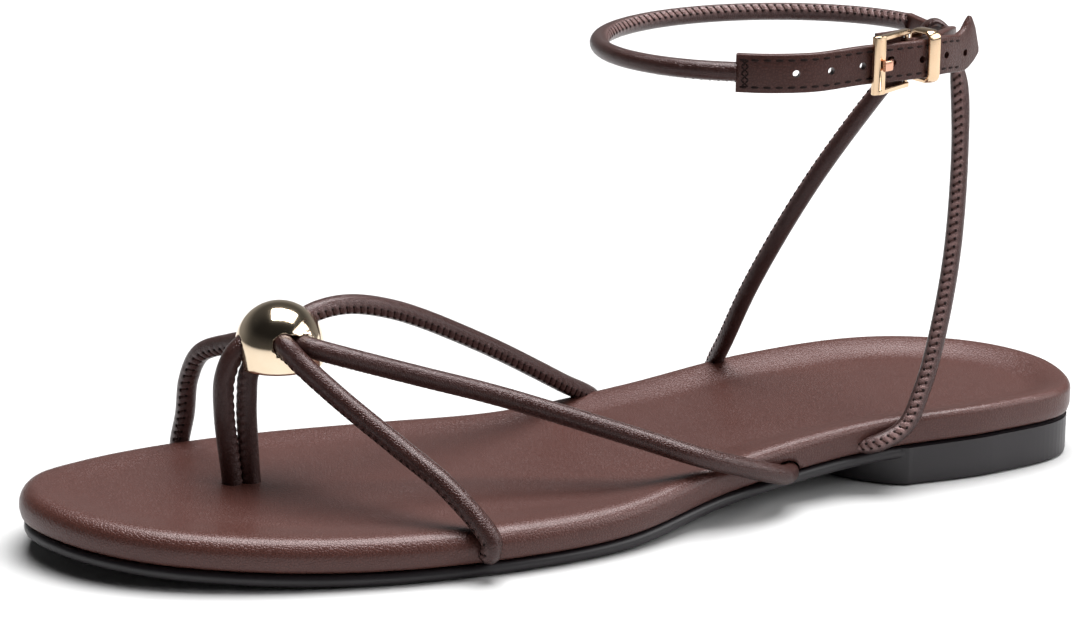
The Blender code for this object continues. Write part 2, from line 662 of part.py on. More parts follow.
def make_keeper(material):
    """Metal loop round tab and strap, behind the buckle."""
    stand_offs = []
    for table in (STRAP_PATH, TAB_PATH):
        rows = sorted(row[:2] for row in table)
        stand_offs.append(np.interp(KEEPER_ANGLE, *np.array(rows).T))
    strap_face = stand_offs[0] + STRAP_THICKNESS / 2 + KEEPER_ROOM
    tab_face = stand_offs[1] - TAB_THICKNESS / 2 - KEEPER_ROOM
    inner_depth = strap_face - tab_face
    frame = ring_frame(KEEPER_ANGLE, (strap_face + tab_face) / 2)
    frame = frame @ Matrix.Rotation(math.radians(KEEPER_TURN), 4, "Z")
    outer = (KEEPER_WIDTH, inner_depth + 2 * KEEPER_THICKNESS, 2 * KEEPER_HALF_HEIGHT)
    hole = (3 * KEEPER_WIDTH, inner_depth, 2 * (KEEPER_HALF_HEIGHT - KEEPER_THICKNESS))
    keeper = keep("keeper", block(outer, frame), PARTS, material)
    boolean(keeper, "DIFFERENCE", keep("keeper opening", block(hole, frame), CUTTERS))
    return keeper


def make_ankle_cord(material):
    """Rolled cord from the tab's end round the inside of the ankle to the flat strap."""
    first, last = TAB_END_ANGLE - CORD_END_ANGLE, STRAP_START_ANGLE - 360 + CORD_END_ANGLE
    angles = np.linspace(first, last, RING_CORD_POINTS)
    route = [(*ring_at(angle), RING_HEIGHT) for angle in angles]
    rows = cord_rows(route, [RING_CORD_RADIUS] * len(route))
    return keep("ankle_cord", cord_mesh("ankle_cord", rows), PARTS, material)


# Heel cord: lateral upright, flattened arch over the tab, medial upright.
HEEL_CORD = (
    [edge_point(1, 68.0, -5.0, 1.7), edge_point(1, 62.5, 0.8, 2.4)]
    + [(30.4, 55.7, 15.2), (28.6, 50.5, 22.7), (26.4, 46.0, 33.0), (22.4, 40.2, 52.1),
       (17.5, 36.2, 75.0), (14.6, 34.9, 90.0), (12.8, 34.0, 98.0), (10.6, 34.3, 102.3),
       (7.9, 36.2, 103.3), (5.6, 38.6, 102.1), (3.9, 40.8, 96.4), (-1.0, 47.9, 85.2), (-9.7, 59.6, 63.2),
       (-19.6, 69.1, 38.1), (-25.4, 72.9, 23.0)]
    + tuck(-1, 73.0, 0.2, 4.6)
)
ARCH = (8, 9, 10, 11, 12)
ARCH_RADIUS = 0.8


def make_heel_cord(material, footbed):
    radii = [UPRIGHT_RADIUS] * len(HEEL_CORD)
    radii[0] = TUCKED_RADIUS
    radii[-1] = TUCKED_RADIUS
    for point in ARCH:
        radii[point] = ARCH_RADIUS
    rows = cord_rows(HEEL_CORD, radii)
    boolean(footbed, "DIFFERENCE", fat_cord("heel cord", rows))
    return keep("heel_cord", cord_mesh("heel_cord", rows), PARTS, material)


def centre_on_origin():
    """Stand the sandal with the middle of its bounding box over the origin."""
    bpy.context.view_layer.update()
    graph = bpy.context.evaluated_depsgraph_get()
    corners = [Vector(corner) for item in PARTS.objects for corner in item.evaluated_get(graph).bound_box]
    for axis in (0, 1):
        values = [corner[axis] for corner in corners]
        ROOT.location[axis] = -(min(values) + max(values)) / 2


clear_scene()
PARTS = new_collection("toe post sandal")
CUTTERS = new_collection("cutters")
ROOT = bpy.data.objects.new("sandal root", None)
PARTS.objects.link(ROOT)

leather = paint("brown leather", (0.072, 0.030, 0.022), 0.42)
rubber = paint("dark rubber", (0.018, 0.010, 0.008), 0.55)
gold = paint("pale gold", (0.83, 0.66, 0.42), 0.18, 1.0)

make_outsole(rubber)
sandal_footbed = make_footbed(leather)
sandal_bead = make_bead(gold)
make_front_straps(leather, sandal_footbed, sandal_bead)
make_heel_cord(leather, sandal_footbed)
make_ankle_cord(leather)
sandal_strap = make_ankle_strap(leather)
make_buckle_tab(leather)
make_buckle_frame(gold)
make_buckle_prong(gold, sandal_strap)
make_keeper(gold)
centre_on_origin()
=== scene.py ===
"""Looks of a flat toe post sandal for the left foot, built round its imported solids.

Sizes are in millimetres unless a name says otherwise. A station is a distance along the sole from the
back of the heel, a lateral offset runs towards the little toe, and a height is over the floor.
"""
import json
import math

import bmesh
import bpy
import numpy as np
from mathutils import Matrix, Vector

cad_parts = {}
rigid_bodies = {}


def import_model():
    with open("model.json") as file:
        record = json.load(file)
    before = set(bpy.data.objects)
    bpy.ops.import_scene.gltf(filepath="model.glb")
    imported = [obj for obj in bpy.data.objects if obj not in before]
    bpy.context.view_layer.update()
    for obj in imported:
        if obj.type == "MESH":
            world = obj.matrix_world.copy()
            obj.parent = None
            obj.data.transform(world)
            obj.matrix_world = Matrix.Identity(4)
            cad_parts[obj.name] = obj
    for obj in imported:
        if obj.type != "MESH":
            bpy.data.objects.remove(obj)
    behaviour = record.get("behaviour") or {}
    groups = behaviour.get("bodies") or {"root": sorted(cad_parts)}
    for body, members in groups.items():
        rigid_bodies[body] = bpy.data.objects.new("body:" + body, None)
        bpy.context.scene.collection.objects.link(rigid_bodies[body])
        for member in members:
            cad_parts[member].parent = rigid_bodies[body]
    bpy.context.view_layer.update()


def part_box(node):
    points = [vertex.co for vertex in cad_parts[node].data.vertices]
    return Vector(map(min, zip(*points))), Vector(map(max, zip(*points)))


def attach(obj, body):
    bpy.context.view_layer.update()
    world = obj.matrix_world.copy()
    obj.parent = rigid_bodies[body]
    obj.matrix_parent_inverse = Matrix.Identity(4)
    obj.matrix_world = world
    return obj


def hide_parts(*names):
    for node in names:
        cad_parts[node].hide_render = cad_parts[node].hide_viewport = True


for leftover in list(bpy.data.objects):
    bpy.data.objects.remove(leftover, do_unlink=True)
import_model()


# Outsole: one moulding of dark rubber with its low heel block, cemented under the footbed and set a
# little inside its edge. Moulded rubber is smooth and dull, so its side shows one broad grey light.
MM = 0.001
SOLE_LENGTH = 250.0
HEEL_TIP_LATERAL = 2.9
TOE_TIP_LATERAL = -8.8
OUTLINE_POINTS = 360
# fraction of length, half width to the lateral edge, to the medial edge, height of the feather line
SOLE_SECTIONS = (
    (0.03, 23.8, 16.6, 9.7),
    (0.12, 29.9, 30.3, 10.0),
    (0.26, 28.7, 32.8, 9.1),
    (0.40, 33.0, 30.4, 6.2),
    (0.52, 42.6, 32.2, 3.4),
    (0.64, 44.3, 37.2, 3.1),
    (0.75, 40.4, 40.4, 3.2),
    (0.85, 32.5, 37.9, 4.2),
    (0.93, 21.2, 30.8, 5.5),
    (0.98, 7.3, 22.1, 6.6),
)
HEEL_FEATHER = 9.6
TOE_FEATHER = 6.9
SOLE_GAP = 0.3
OUTSOLE_THICKNESS = 3.2
OUTSOLE_INSET = 0.8
OUTSOLE_EDGE = 1.3
TREAD_EDGE = 0.7
HEEL_INSET = 0.6
HEEL_TOP_DROP = 0.6
HEEL_EDGE_STATION = 53.0
HEEL_BREAST_STATION = 70.0
BREAST_POWER = 1.5
RUBBER_COLOUR = "211b20"
RUBBER_WEAR = "151115"
# widths of the mould texture and of the cloudy wear
RUBBER_GRIT = 0.5
RUBBER_CLOUD = 18.0
SHARP_ANGLE = math.radians(38)


def smooth(points, count, closed=False):
    """Spread points evenly along a smooth curve through a few given ones."""
    knots = np.array(points, float)
    if closed:
        knots = np.vstack((knots[-1:], knots, knots[:2]))
    steps = np.sqrt(np.linalg.norm(np.diff(knots, axis=0), axis=1))
    at = np.concatenate(([0.0], np.cumsum(steps)))
    slopes = np.gradient(knots, at, axis=0)
    first, last = (1, len(at) - 2) if closed else (0, len(at) - 1)
    fine = np.linspace(at[first], at[last], 24 * count)
    left = np.clip(np.searchsorted(at, fine, side="right") - 1, first, last - 1)
    width = (at[left + 1] - at[left])[:, None]
    t = (fine - at[left])[:, None] / width
    curve = ((2 * t**3 - 3 * t**2 + 1) * knots[left] + (t**3 - 2 * t**2 + t) * width * slopes[left]
             + (3 * t**2 - 2 * t**3) * knots[left + 1] + (t**3 - t**2) * width * slopes[left + 1])
    run = np.concatenate(([0.0], np.cumsum(np.linalg.norm(np.diff(curve, axis=0), axis=1))))
    wanted = np.linspace(0.0, run[-1], count + closed)[:count]
    return np.stack([np.interp(wanted, run, axis) for axis in curve.T], axis=1)


def side_normals(path, closed=False):
    """Unit normals, to the right of travel, of a path seen from above with stations running down."""
    if closed:
        run = np.roll(path, -1, axis=0) - np.roll(path, 1, axis=0)
    else:
        run = np.gradient(np.array(path, float), axis=0)
    normal = np.stack((run[:, 1], -run[:, 0]), axis=1)
    return normal / np.linalg.norm(normal, axis=1)[:, None]


lateral_edge = [(half, part * SOLE_LENGTH) for part, half, _, _ in SOLE_SECTIONS]
medial_edge = [(-half, part * SOLE_LENGTH) for part, _, half, _ in reversed(SOLE_SECTIONS)]
round_the_sole = [(HEEL_TIP_LATERAL, 0.0), *lateral_edge, (TOE_TIP_LATERAL, SOLE_LENGTH), *medial_edge]
OUTLINE = smooth(round_the_sole, OUTLINE_POINTS, closed=True)
OUTLINE_NORMALS = side_normals(OUTLINE, closed=True)
footbed_low, footbed_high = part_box("footbed")
SOLE_MIDDLE_X = (footbed_low.x + footbed_high.x - (OUTLINE[:, 0].min() + OUTLINE[:, 0].max()) * MM) / 2
HEEL_TIP_Y = footbed_high.y
feather_knots = [(part * SOLE_LENGTH, height) for part, _, _, height in SOLE_SECTIONS]
FEATHER_LINE = smooth([(0.0, HEEL_FEATHER)] + feather_knots + [(SOLE_LENGTH, TOE_FEATHER)], 120)


def place(lateral, station, height):
    """Position in the frame, in metres, of a lateral offset, a station and a height."""
    return Vector((SOLE_MIDDLE_X + lateral * MM, HEEL_TIP_Y - station * MM, height * MM))


def feather(station):
    """Height of the feather line, where footbed and outsole meet, at a station."""
    return np.interp(station, FEATHER_LINE[:, 0], FEATHER_LINE[:, 1])


def sole_ring(inset, height_at, share=1.0):
    """Ring inside the sole's outline, drawn in towards the sole's middle by a share."""
    middle = np.array((0.0, SOLE_LENGTH / 2))
    inset = np.broadcast_to(inset, OUTLINE_POINTS)[:, None]
    ring = middle + (OUTLINE - OUTLINE_NORMALS * inset - middle) * share
    points = [place(lateral, station, height_at(station)) for lateral, station in ring]
    return points[:1] if share == 0 else points


def mesh_from(name, work):
    """Plain mesh of a finished bmesh."""
    mesh = bpy.data.meshes.new(name)
    work.to_mesh(mesh)
    work.free()
    return mesh


def loft(name, rings, looped=False):
    """Skin a row of rings with equal point counts. Its ends are closed, or meet where it is looped."""
    work = bmesh.new()
    rows = [[work.verts.new(point) for point in ring] for ring in rings]
    if looped:
        rows.append(rows[0])
    for low, high in zip(rows, rows[1:]):
        count = max(len(low), len(high))
        for i in range(count):
            j = (i + 1) % count
            if len(low) == 1:
                work.faces.new((low[0], high[j], high[i]))
            elif len(high) == 1:
                work.faces.new((low[i], low[j], high[0]))
            else:
                work.faces.new((low[i], low[j], high[j], high[i]))
    for row in () if looped else (rows[0], rows[-1]):
        if len(row) > 2:
            work.faces.new(row)
    bmesh.ops.recalc_face_normals(work, faces=work.faces)
    return mesh_from(name, work)


def new_piece(name, mesh, material):
    """Put a mesh into the scene as a smoothly shaded piece at the origin."""
    piece = bpy.data.objects.new(name, mesh)
    bpy.context.scene.collection.objects.link(piece)
    mesh.materials.clear()
    mesh.materials.append(material)
    mesh.shade_smooth()
    mesh.set_sharp_from_angle(angle=SHARP_ANGLE)
    return piece


def combine(piece, operation, other_meshes):
    """Join meshes to a piece, or cut them out of it, and keep the result as its plain mesh."""
    others = []
    for mesh in other_meshes:
        other = bpy.data.objects.new("tool", mesh)
        bpy.context.scene.collection.objects.link(other)
        others.append(other)
        modifier = piece.modifiers.new(operation, "BOOLEAN")
        modifier.operation = operation
        modifier.object = other
    make_plain(piece)
    for other in others:
        bpy.data.objects.remove(other, do_unlink=True)


def make_plain(piece):
    """Turn a piece's live modifiers into its plain mesh."""
    bpy.context.view_layer.update()
    graph = bpy.context.evaluated_depsgraph_get()
    made = bpy.data.meshes.new_from_object(piece.evaluated_get(graph))
    piece.modifiers.clear()
    piece.data = made


def linear(hex_colour):
    """Linear red, green, blue and alpha of an sRGB hex colour."""
    values = [int(hex_colour[i:i + 2], 16) / 255 for i in (0, 2, 4)]
    return *[v / 12.92 if v <= 0.04045 else ((v + 0.055) / 1.055) ** 2.4 for v in values], 1.0


def add_node(tree, kind, inputs=None, **settings):
    """Add a node with its settings. An input takes a value, or a socket to link from."""
    node = tree.nodes.new(kind)
    for key, value in settings.items():
        setattr(node, key, value)
    for key, value in (inputs or {}).items():
        if isinstance(value, bpy.types.NodeSocket):
            tree.links.new(value, node.inputs[key])
        else:
            node.inputs[key].default_value = value
    return node


def new_material(name, **sockets):
    """A material with values on its Principled shader's sockets. Gives it, its tree and the shader."""
    material = bpy.data.materials.new(name)
    material.use_nodes = True
    shader = material.node_tree.nodes["Principled BSDF"]
    for key, value in sockets.items():
        shader.inputs[key.replace("_", " ").title().replace("Ior", "IOR")].default_value = value
    return material, material.node_tree, shader


def moulded_rubber():
    """Moulded rubber: near black, with faint cloudy wear and a fine mould texture."""
    material, tree, shader = new_material("moulded_rubber", ior=1.5)
    where = add_node(tree, "ShaderNodeTexCoord").outputs["Object"]
    cloud = add_node(tree, "ShaderNodeTexNoise", {"Vector": where, "Scale": 1 / (RUBBER_CLOUD * MM),
                                                  "Detail": 4.0})
    tone = add_node(tree, "ShaderNodeMix", {"Factor": cloud.outputs["Fac"], "A": linear(RUBBER_COLOUR),
                                            "B": linear(RUBBER_WEAR)}, data_type="RGBA")
    tree.links.new(tone.outputs["Result"], shader.inputs["Base Color"])
    gloss = add_node(tree, "ShaderNodeMapRange", {"Value": cloud.outputs["Fac"], "To Min": 0.36,
                                                  "To Max": 0.5})
    tree.links.new(gloss.outputs["Result"], shader.inputs["Roughness"])
    grit = add_node(tree, "ShaderNodeTexNoise", {"Vector": where, "Scale": 1 / (RUBBER_GRIT * MM)})
    bump = add_node(tree, "ShaderNodeBump", {"Height": grit.outputs["Fac"], "Strength": 0.12,
                                             "Distance": 0.1 * MM})
    tree.links.new(bump.outputs["Normal"], shader.inputs["Normal"])
    return material


def underside(station):
    """Tread height: on the floor under the ball, lifted at the toe and under the arch."""
    return np.maximum(feather(station) - OUTSOLE_THICKNESS, 0.0)


def outsole_top(station):
    return feather(station) - SOLE_GAP


def heel_ring(inset, height_at):
    """Ring round the heel block: the sole's outline behind, closed by a rounded breast in front."""
    ring = OUTLINE - OUTLINE_NORMALS * inset
    half = OUTLINE_POINTS // 2
    lateral = ring[:half][ring[:half, 1] < HEEL_EDGE_STATION]
    medial = ring[half:][ring[half:, 1] < HEEL_EDGE_STATION]
    middle, half_width = (lateral[-1, 0] + medial[0, 0]) / 2, (lateral[-1, 0] - medial[0, 0]) / 2
    bulge = HEEL_BREAST_STATION - HEEL_EDGE_STATION
    breast = [(middle + half_width * math.cos(turn),
               HEEL_EDGE_STATION + bulge * max(math.sin(turn), 0.0)**BREAST_POWER)
              for turn in np.radians(np.linspace(0, 180, 61))]
    return [place(*spot, height_at(spot[1])) for spot in (*lateral, *breast, *medial)]


INNER_SHARES = np.linspace(0.96, 0.0, 25)
edge_turns = np.radians((0, 18, 36, 54, 72, 90))
outsole_inner = OUTSOLE_INSET + OUTSOLE_EDGE
outsole_rings = [sole_ring(outsole_inner, outsole_top, share) for share in INNER_SHARES[::-1]]
for turn in edge_turns:
    outsole_rings.append(sole_ring(OUTSOLE_INSET + OUTSOLE_EDGE * (1 - math.sin(turn)),
                                   lambda s, t=turn: outsole_top(s) - OUTSOLE_EDGE * (1 - math.cos(t))))
for turn in edge_turns:
    outsole_rings.append(sole_ring(OUTSOLE_INSET + OUTSOLE_EDGE * (1 - math.cos(turn)),
                                   lambda s, t=turn: underside(s) + OUTSOLE_EDGE * (1 - math.sin(t))))
outsole_rings += [sole_ring(outsole_inner, underside, share) for share in INNER_SHARES]
heel_levels = [heel_ring(HEEL_INSET + TREAD_EDGE * (1 - math.sin(turn)),
                         lambda s, t=turn: TREAD_EDGE * (1 - math.cos(t))) for turn in edge_turns]
heel_levels.append(heel_ring(HEEL_INSET, lambda station: feather(station) - HEEL_TOP_DROP))

rubber = moulded_rubber()
outsole = new_piece("rubber_outsole", loft("rubber_outsole", outsole_rings), rubber)
combine(outsole, "UNION", [loft("heel block", heel_levels)])
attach(outsole, "root")
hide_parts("outsole")


# Footbed: a board with foam on it, wrapped in smooth brown leather whose edge rolls over the side and
# is cemented under. The leather has a fine pebbled grain that sparkles along the rolled edge.
FOOTBED_THICKNESS = 7.2
# The top edge is rolled softly round the forefoot and more crisply round the heel: stations and radii.
EDGE_STATIONS, EDGE_RADII = (45.0, 150.0), (1.6, 3.9)
# The top falls into a shallow dish inside its edge: stations and depths, and the width of the fall.
DISH_STATIONS, FOOTBED_DISHES = (60.0, 130.0), (2.6, 0.8)
DISH_WALL = 10.0
TOP_SHARES = 1 - np.linspace(0.06, 1.0, 40)**1.8
# inset from the outline, rise over the feather line: the side turns in under the footbed
FOOTBED_TURN_IN = ((1.6, 0.0), (0.5, 0.7), (0.0, 2.4))
LEATHER_COLOUR = "512f28"
LEATHER_SHADE = "40231d"
# Width and depth of the grain. The real one is about half as wide, and would be lost in the picture.
FOOTBED_GRAIN = (0.7, 0.08)
LEATHER_CLOUD = 22.0
SHEEN_TINT = "ffe4e6"
# pale colour of the cords' seam ridges: a painted highlight, over leather a little paler where stretched
RIDGE_SHEEN_COLOUR = "ab8b88"


def brown_leather(name, colour, shade, roughness, gloss, grain=FOOTBED_GRAIN):
    """Smooth dyed leather: an even brown with soft clouds, a fine pebbled grain and a waxed sheen.

    Where a cord's mesh carries its seam-ridge attribute, a pale colour is mixed in: a painted highlight
    on the ridges, over leather that is a little paler where it is stretched.
    """
    material, tree, shader = new_material(name, ior=1.5, specular_ior_level=gloss, coat_weight=0.17,
                                          coat_roughness=0.22, specular_tint=linear(SHEEN_TINT))
    where = add_node(tree, "ShaderNodeTexCoord").outputs["Object"]
    cloud = add_node(tree, "ShaderNodeTexNoise", {"Vector": where, "Scale": 1 / (LEATHER_CLOUD * MM),
                                                  "Detail": 5.0, "Roughness": 0.6})
    tone = add_node(tree, "ShaderNodeMix", {"Factor": cloud.outputs["Fac"], "A": linear(colour),
                                            "B": linear(shade)}, data_type="RGBA")
    width, depth = grain
    cells = add_node(tree, "ShaderNodeTexVoronoi", {"Vector": where, "Scale": 1 / (width * MM),
                                                    "Randomness": 0.9}, feature="DISTANCE_TO_EDGE")
    pebble = add_node(tree, "ShaderNodeMapRange", {"Value": cells.outputs["Distance"], "From Max": 0.22})
    # painted shade: the grain's creases take the darker shade colour
    shaded_creases = add_node(tree, "ShaderNodeMix", {"Factor": pebble.outputs["Result"], "A": linear(shade),
                                            "B": tone.outputs["Result"]}, data_type="RGBA")
    # painted highlight: the pale colour is mixed in on the cords' seam ridges, as far as the mesh
    # attribute asks
    puff = add_node(tree, "ShaderNodeAttribute", attribute_name="puff")
    painted_ridge_sheen = add_node(tree, "ShaderNodeMix", {"Factor": puff.outputs["Fac"], "A": shaded_creases.outputs["Result"],
                                              "B": linear(RIDGE_SHEEN_COLOUR)}, data_type="RGBA")
    tree.links.new(painted_ridge_sheen.outputs["Result"], shader.inputs["Base Color"])
    polish = add_node(tree, "ShaderNodeMapRange", {"Value": cloud.outputs["Fac"],
                                                   "To Min": roughness - 0.05,
                                                   "To Max": roughness + 0.06})
    tree.links.new(polish.outputs["Result"], shader.inputs["Roughness"])
    bump = add_node(tree, "ShaderNodeBump", {"Height": pebble.outputs["Result"], "Strength": 0.6,
                                             "Distance": depth * MM})
    tree.links.new(bump.outputs["Normal"], shader.inputs["Normal"])
    return material


def edge_radius(station):
    return np.interp(station, EDGE_STATIONS, EDGE_RADII)


def rolled_edge(turn):
    """Ring on the rolled top edge, at a turn from the upright side to the level top."""
    def height_at(station):
        return feather(station) + FOOTBED_THICKNESS - edge_radius(station) * (1 - math.sin(turn))
    return sole_ring(edge_radius(OUTLINE[:, 1]) * (1 - math.cos(turn)), height_at)


def footbed_top(share):
    """Ring on the footbed's top, drawn in by a share: it falls into the dish, deeper at the heel."""
    middle = np.array((0.0, SOLE_LENGTH / 2))
    edge = OUTLINE - OUTLINE_NORMALS * edge_radius(OUTLINE[:, 1])[:, None]
    ring = middle + (edge - middle) * share
    from_edge = np.linalg.norm(ring[:, None] - edge[None], axis=2).min(axis=1)
    fall = np.clip(from_edge / DISH_WALL, 0.0, 1.0)
    drop = np.interp(ring[:, 1], DISH_STATIONS, FOOTBED_DISHES) * fall**2 * (3 - 2 * fall)
    points = [place(*spot, feather(spot[1]) + FOOTBED_THICKNESS - down)
              for spot, down in zip(ring, drop)]
    return points[:1] if share == 0 else points


footbed_rings = [sole_ring(FOOTBED_TURN_IN[0][0], feather, share) for share in INNER_SHARES[::-1]]
footbed_rings += [sole_ring(inset, lambda s, r=rise: feather(s) + r)
                  for inset, rise in smooth(FOOTBED_TURN_IN, 9)]
footbed_rings += [rolled_edge(turn) for turn in np.radians(np.linspace(0, 90, 13))]
footbed_rings += [footbed_top(share) for share in TOP_SHARES]
footbed_leather = brown_leather("footbed_leather", LEATHER_COLOUR, LEATHER_SHADE, roughness=0.4,
                                gloss=0.46)
footbed = new_piece("leather_footbed", loft("leather_footbed", footbed_rings), footbed_leather)
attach(footbed, "root")
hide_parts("footbed")


# Front straps: six leather cords, each a strip rolled round a core and overcast along one side, which
# puckers a narrow band of it. They are knotted inside the bead and tucked in over the sole's edge.
CORD_RADIUS = 2.25
TUCKED_RADIUS = 1.1
CORD_STEP = 0.3
SEAM_PITCH = 1.85
SEAM_RIDGE = 0.27
SEAM_GROOVE = 0.1
# Half angle of the puckered band, angle of its two rows of pinholes, and how far its ridges lean.
SEAM_HALF_ANGLE = math.radians(56)
PINHOLE_ANGLE = math.radians(19)
SEAM_LEAN = 0.3
# how much weaker the painted highlight is between two ridges than on their crests
VALLEY_SHEEN_LOSS = 0.45
TUCK_LENGTH = 6.0
TUCKED_HEIGHT = 1.7
CORD_COLOUR = "432620"
CORD_SHADE = "291512"
CORD_GRAIN = (0.5, 0.095)
THREAD_COLOUR = "5e433e"
# near black: painted shadow inside the seam's pinholes, drawn as small dark grains
PINHOLE_SHADOW_COLOUR = "0c0706"
THREAD_RADIUS = 0.19
THREAD_SLANT = 0.5
THREAD_TWIST = 0.8
# length, width and height of the dark grain painted as a pinhole's shadow, and how far the slanted thread
# shifts it along the seam
PINHOLE_SIZE = (0.85, 0.7, 0.5)
PINHOLE_SHIFT = 0.45
KNOT = (-7.3, 191.6, 40.6)


def edge_point(side, station, outward, height):
    """Point beside the sole's edge: side is 1 lateral or -1 medial, height is over the feather line."""
    on_side = [i for i in range(OUTLINE_POINTS) if OUTLINE_NORMALS[i, 0] * side > 0.3]
    nearest = min(on_side, key=lambda i: abs(OUTLINE[i, 1] - station))
    lateral, along = OUTLINE[nearest] + OUTLINE_NORMALS[nearest] * outward
    return lateral, along, float(feather(station)) + height


def tuck(side, station, outward, height):
    """Last points of a cord: down the side of the footbed, then in over the feather line."""
    return [edge_point(side, station, outward, height),
            edge_point(side, station, outward / 2, (height + TUCKED_HEIGHT) / 2),
            edge_point(side, station, -TUCK_LENGTH, TUCKED_HEIGHT)]


# lateral offset, station and height of each cord's points, from the knot to its end
FRONT_CORDS = {
    "toe_loop": [KNOT, (-15.0, 195.3, 39.6), (-22.0, 198.4, 37.4), (-31.0, 202.7, 33.0),
                 (-35.0, 204.5, 26.0), (-37.0, 205.0, 17.5)] + tuck(-1, 205.6, 0.2, 6.0),
    "front_lateral": [KNOT, (-3.0, 192.6, 42.5), (2.0, 193.2, 42.7), (4.4, 191.3, 40.1),
                      (12.0, 184.6, 32.9), (24.0, 175.2, 24.0), (36.0, 169.2, 18.2),
                      edge_point(1, 164.0, 1.3, 6.0), edge_point(1, 163.0, 1.5, 4.2),
                      edge_point(1, 162.8, 0.2, 2.5), edge_point(1, 162.8, -5.0, 2.2)],
    "rear_lateral": [KNOT, (-2.9, 189.8, 42.0), (1.7, 188.4, 42.1), (4.4, 183.4, 40.6),
                     (9.0, 165.9, 34.9), (14.2, 148.4, 29.4), (28.0, 121.1, 20.3), (34.2, 109.5, 16.4),
                     (35.2, 100.1, 13.3), (34.2, 92.0, 10.3), (32.4, 87.3, 8.6), (29.0, 84.5, 8.0),
                     (24.0, 83.0, 7.9)],
    "medial": [KNOT, (-8.6, 185.6, 45.4), (-11.3, 176.1, 46.6), (-14.6, 163.0, 43.3),
               (-20.9, 138.9, 30.9), (-26.8, 116.0, 16.7)] + tuck(-1, 106.5, 0.3, 4.6),
    "post_front": [KNOT, (-7.3, 197.2, 42.4), (-7.3, 201.6, 40.0), (-7.3, 204.3, 34.5),
                   (-7.3, 204.7, 26.0), (-7.3, 203.4, 11.0), (-7.3, 203.4, 4.2)],
    "post_rear": [KNOT, (-7.3, 198.2, 36.0), (-7.3, 199.4, 29.0), (-7.3, 199.4, 19.0),
                  (-7.3, 198.8, 4.2)],
}
# the slit in the footbed's side that the rear lateral strap's end goes into
SLIT_GAP = 0.1
STRAP_SLIT = [(34.2, 91.8, 10.8), (32.3, 87.1, 9.1), (28.9, 84.4, 8.5), (24.0, 82.9, 8.4)]
# the way that each cord's seam faces at its two ends: lateral, station, height
FRONT_SEAMS = {
    "toe_loop": ((0.6, 0.5, -0.7), (0.75, 0.66, 0.1)),
    "front_lateral": ((-0.2, 0.45, -0.9), (0.1, 0.95, -0.3)),
    "rear_lateral": ((-0.3, 0.0, -1.0), (-0.9, 0.3, -0.4)),
    "medial": ((0.85, 0.37, -0.35), (0.9, 0.4, 0.1)),
    "post_front": ((0.35, -0.93, 0.0), (0.35, -0.93, 0.0)),
    "post_rear": ((0.35, 0.93, 0.0), (0.35, 0.93, 0.0)),
}


def run_of(points):
    """Distance along a row of points."""
    return np.concatenate(([0.0], np.cumsum(np.linalg.norm(np.diff(points, axis=0), axis=1))))


def rolled_cord(name, route, facing, half_widths, pucker=SEAM_RIDGE, painted_ridge_sheen=0.2):
    """Closed cord along a route, puckered between the stitches of its seam.

    facing holds the seam's direction at each route point, half_widths the cord's half width towards the
    seam and across it, pucker the height of its ridges, the last argument how strong a pale highlight is
    painted on them. Gives the mesh, and the seam's sewn lines as points and outward directions.
    """
    count = len(route)
    columns = np.column_stack((route, np.broadcast_to(facing, (count, 3)),
                               np.broadcast_to(half_widths, (count, 2)), np.broadcast_to(pucker, count)))
    length = run_of(np.array(route, float))[-1]
    rows = smooth(columns, max(12, round(length / CORD_STEP)))
    points = np.array([place(*row) for row in rows[:, :3]])
    along = np.gradient(points, axis=0)
    along /= np.linalg.norm(along, axis=1)[:, None]
    seam = rows[:, 3:6] * (1, -1, 1)
    seam -= along * (seam * along).sum(axis=1)[:, None]
    seam /= np.linalg.norm(seam, axis=1)[:, None]
    across = np.cross(along, seam)
    deep, wide, ridge = rows[:, 6] * MM, rows[:, 7] * MM, rows[:, 8] * MM

    crest = points + seam * deep[:, None]
    sewn = np.nonzero(ridge > 0.5 * SEAM_RIDGE * MM)[0]
    lines, beat = [], np.zeros(len(points))
    for part in np.split(sewn, np.nonzero(np.diff(sewn) > 1)[0] + 1) if len(sewn) else ():
        run = run_of(crest[part])
        beat[part] = run / (run[-1] / max(1, int(run[-1] / (SEAM_PITCH * MM))))
        lines.append((crest[part], seam[part]))
    band = np.linspace(-SEAM_HALF_ANGLE, SEAM_HALF_ANGLE, 15)
    plain = np.linspace(SEAM_HALF_ANGLE, 2 * math.pi - SEAM_HALF_ANGLE, 24)[1:-1]
    turns = np.concatenate((band, plain))
    share = np.where(np.arange(len(turns)) < len(band), turns / SEAM_HALF_ANGLE, 1.0)
    window = np.cos(share * math.pi / 2)**2
    wave = 0.5 - 0.5 * np.cos(2 * math.pi * (beat[:, None] - SEAM_LEAN * share))
    swell = ridge[:, None] * window * (wave - SEAM_GROOVE / SEAM_RIDGE * np.exp(-(share / 0.2)**2))
    towards = (seam[:, None] * ((deep[:, None] + swell) * np.cos(turns))[:, :, None]
               + across[:, None] * ((wide[:, None] + swell) * np.sin(turns))[:, :, None])
    mesh = loft(name, (points[:, None] + towards).tolist())
    # A pale highlight is painted on the ridges' crests, weaker in the valleys between them, through a
    # mesh attribute.
    puff = mesh.attributes.new("puff", "FLOAT", "POINT")
    crest_sheen = 1 - VALLEY_SHEEN_LOSS + VALLEY_SHEEN_LOSS * wave
    ridge_sheen_amount = painted_ridge_sheen * ridge[:, None] / (SEAM_RIDGE * MM) * window * crest_sheen
    puff.data.foreach_set("value", ridge_sheen_amount.ravel().astype(np.float32))
    return mesh, lines


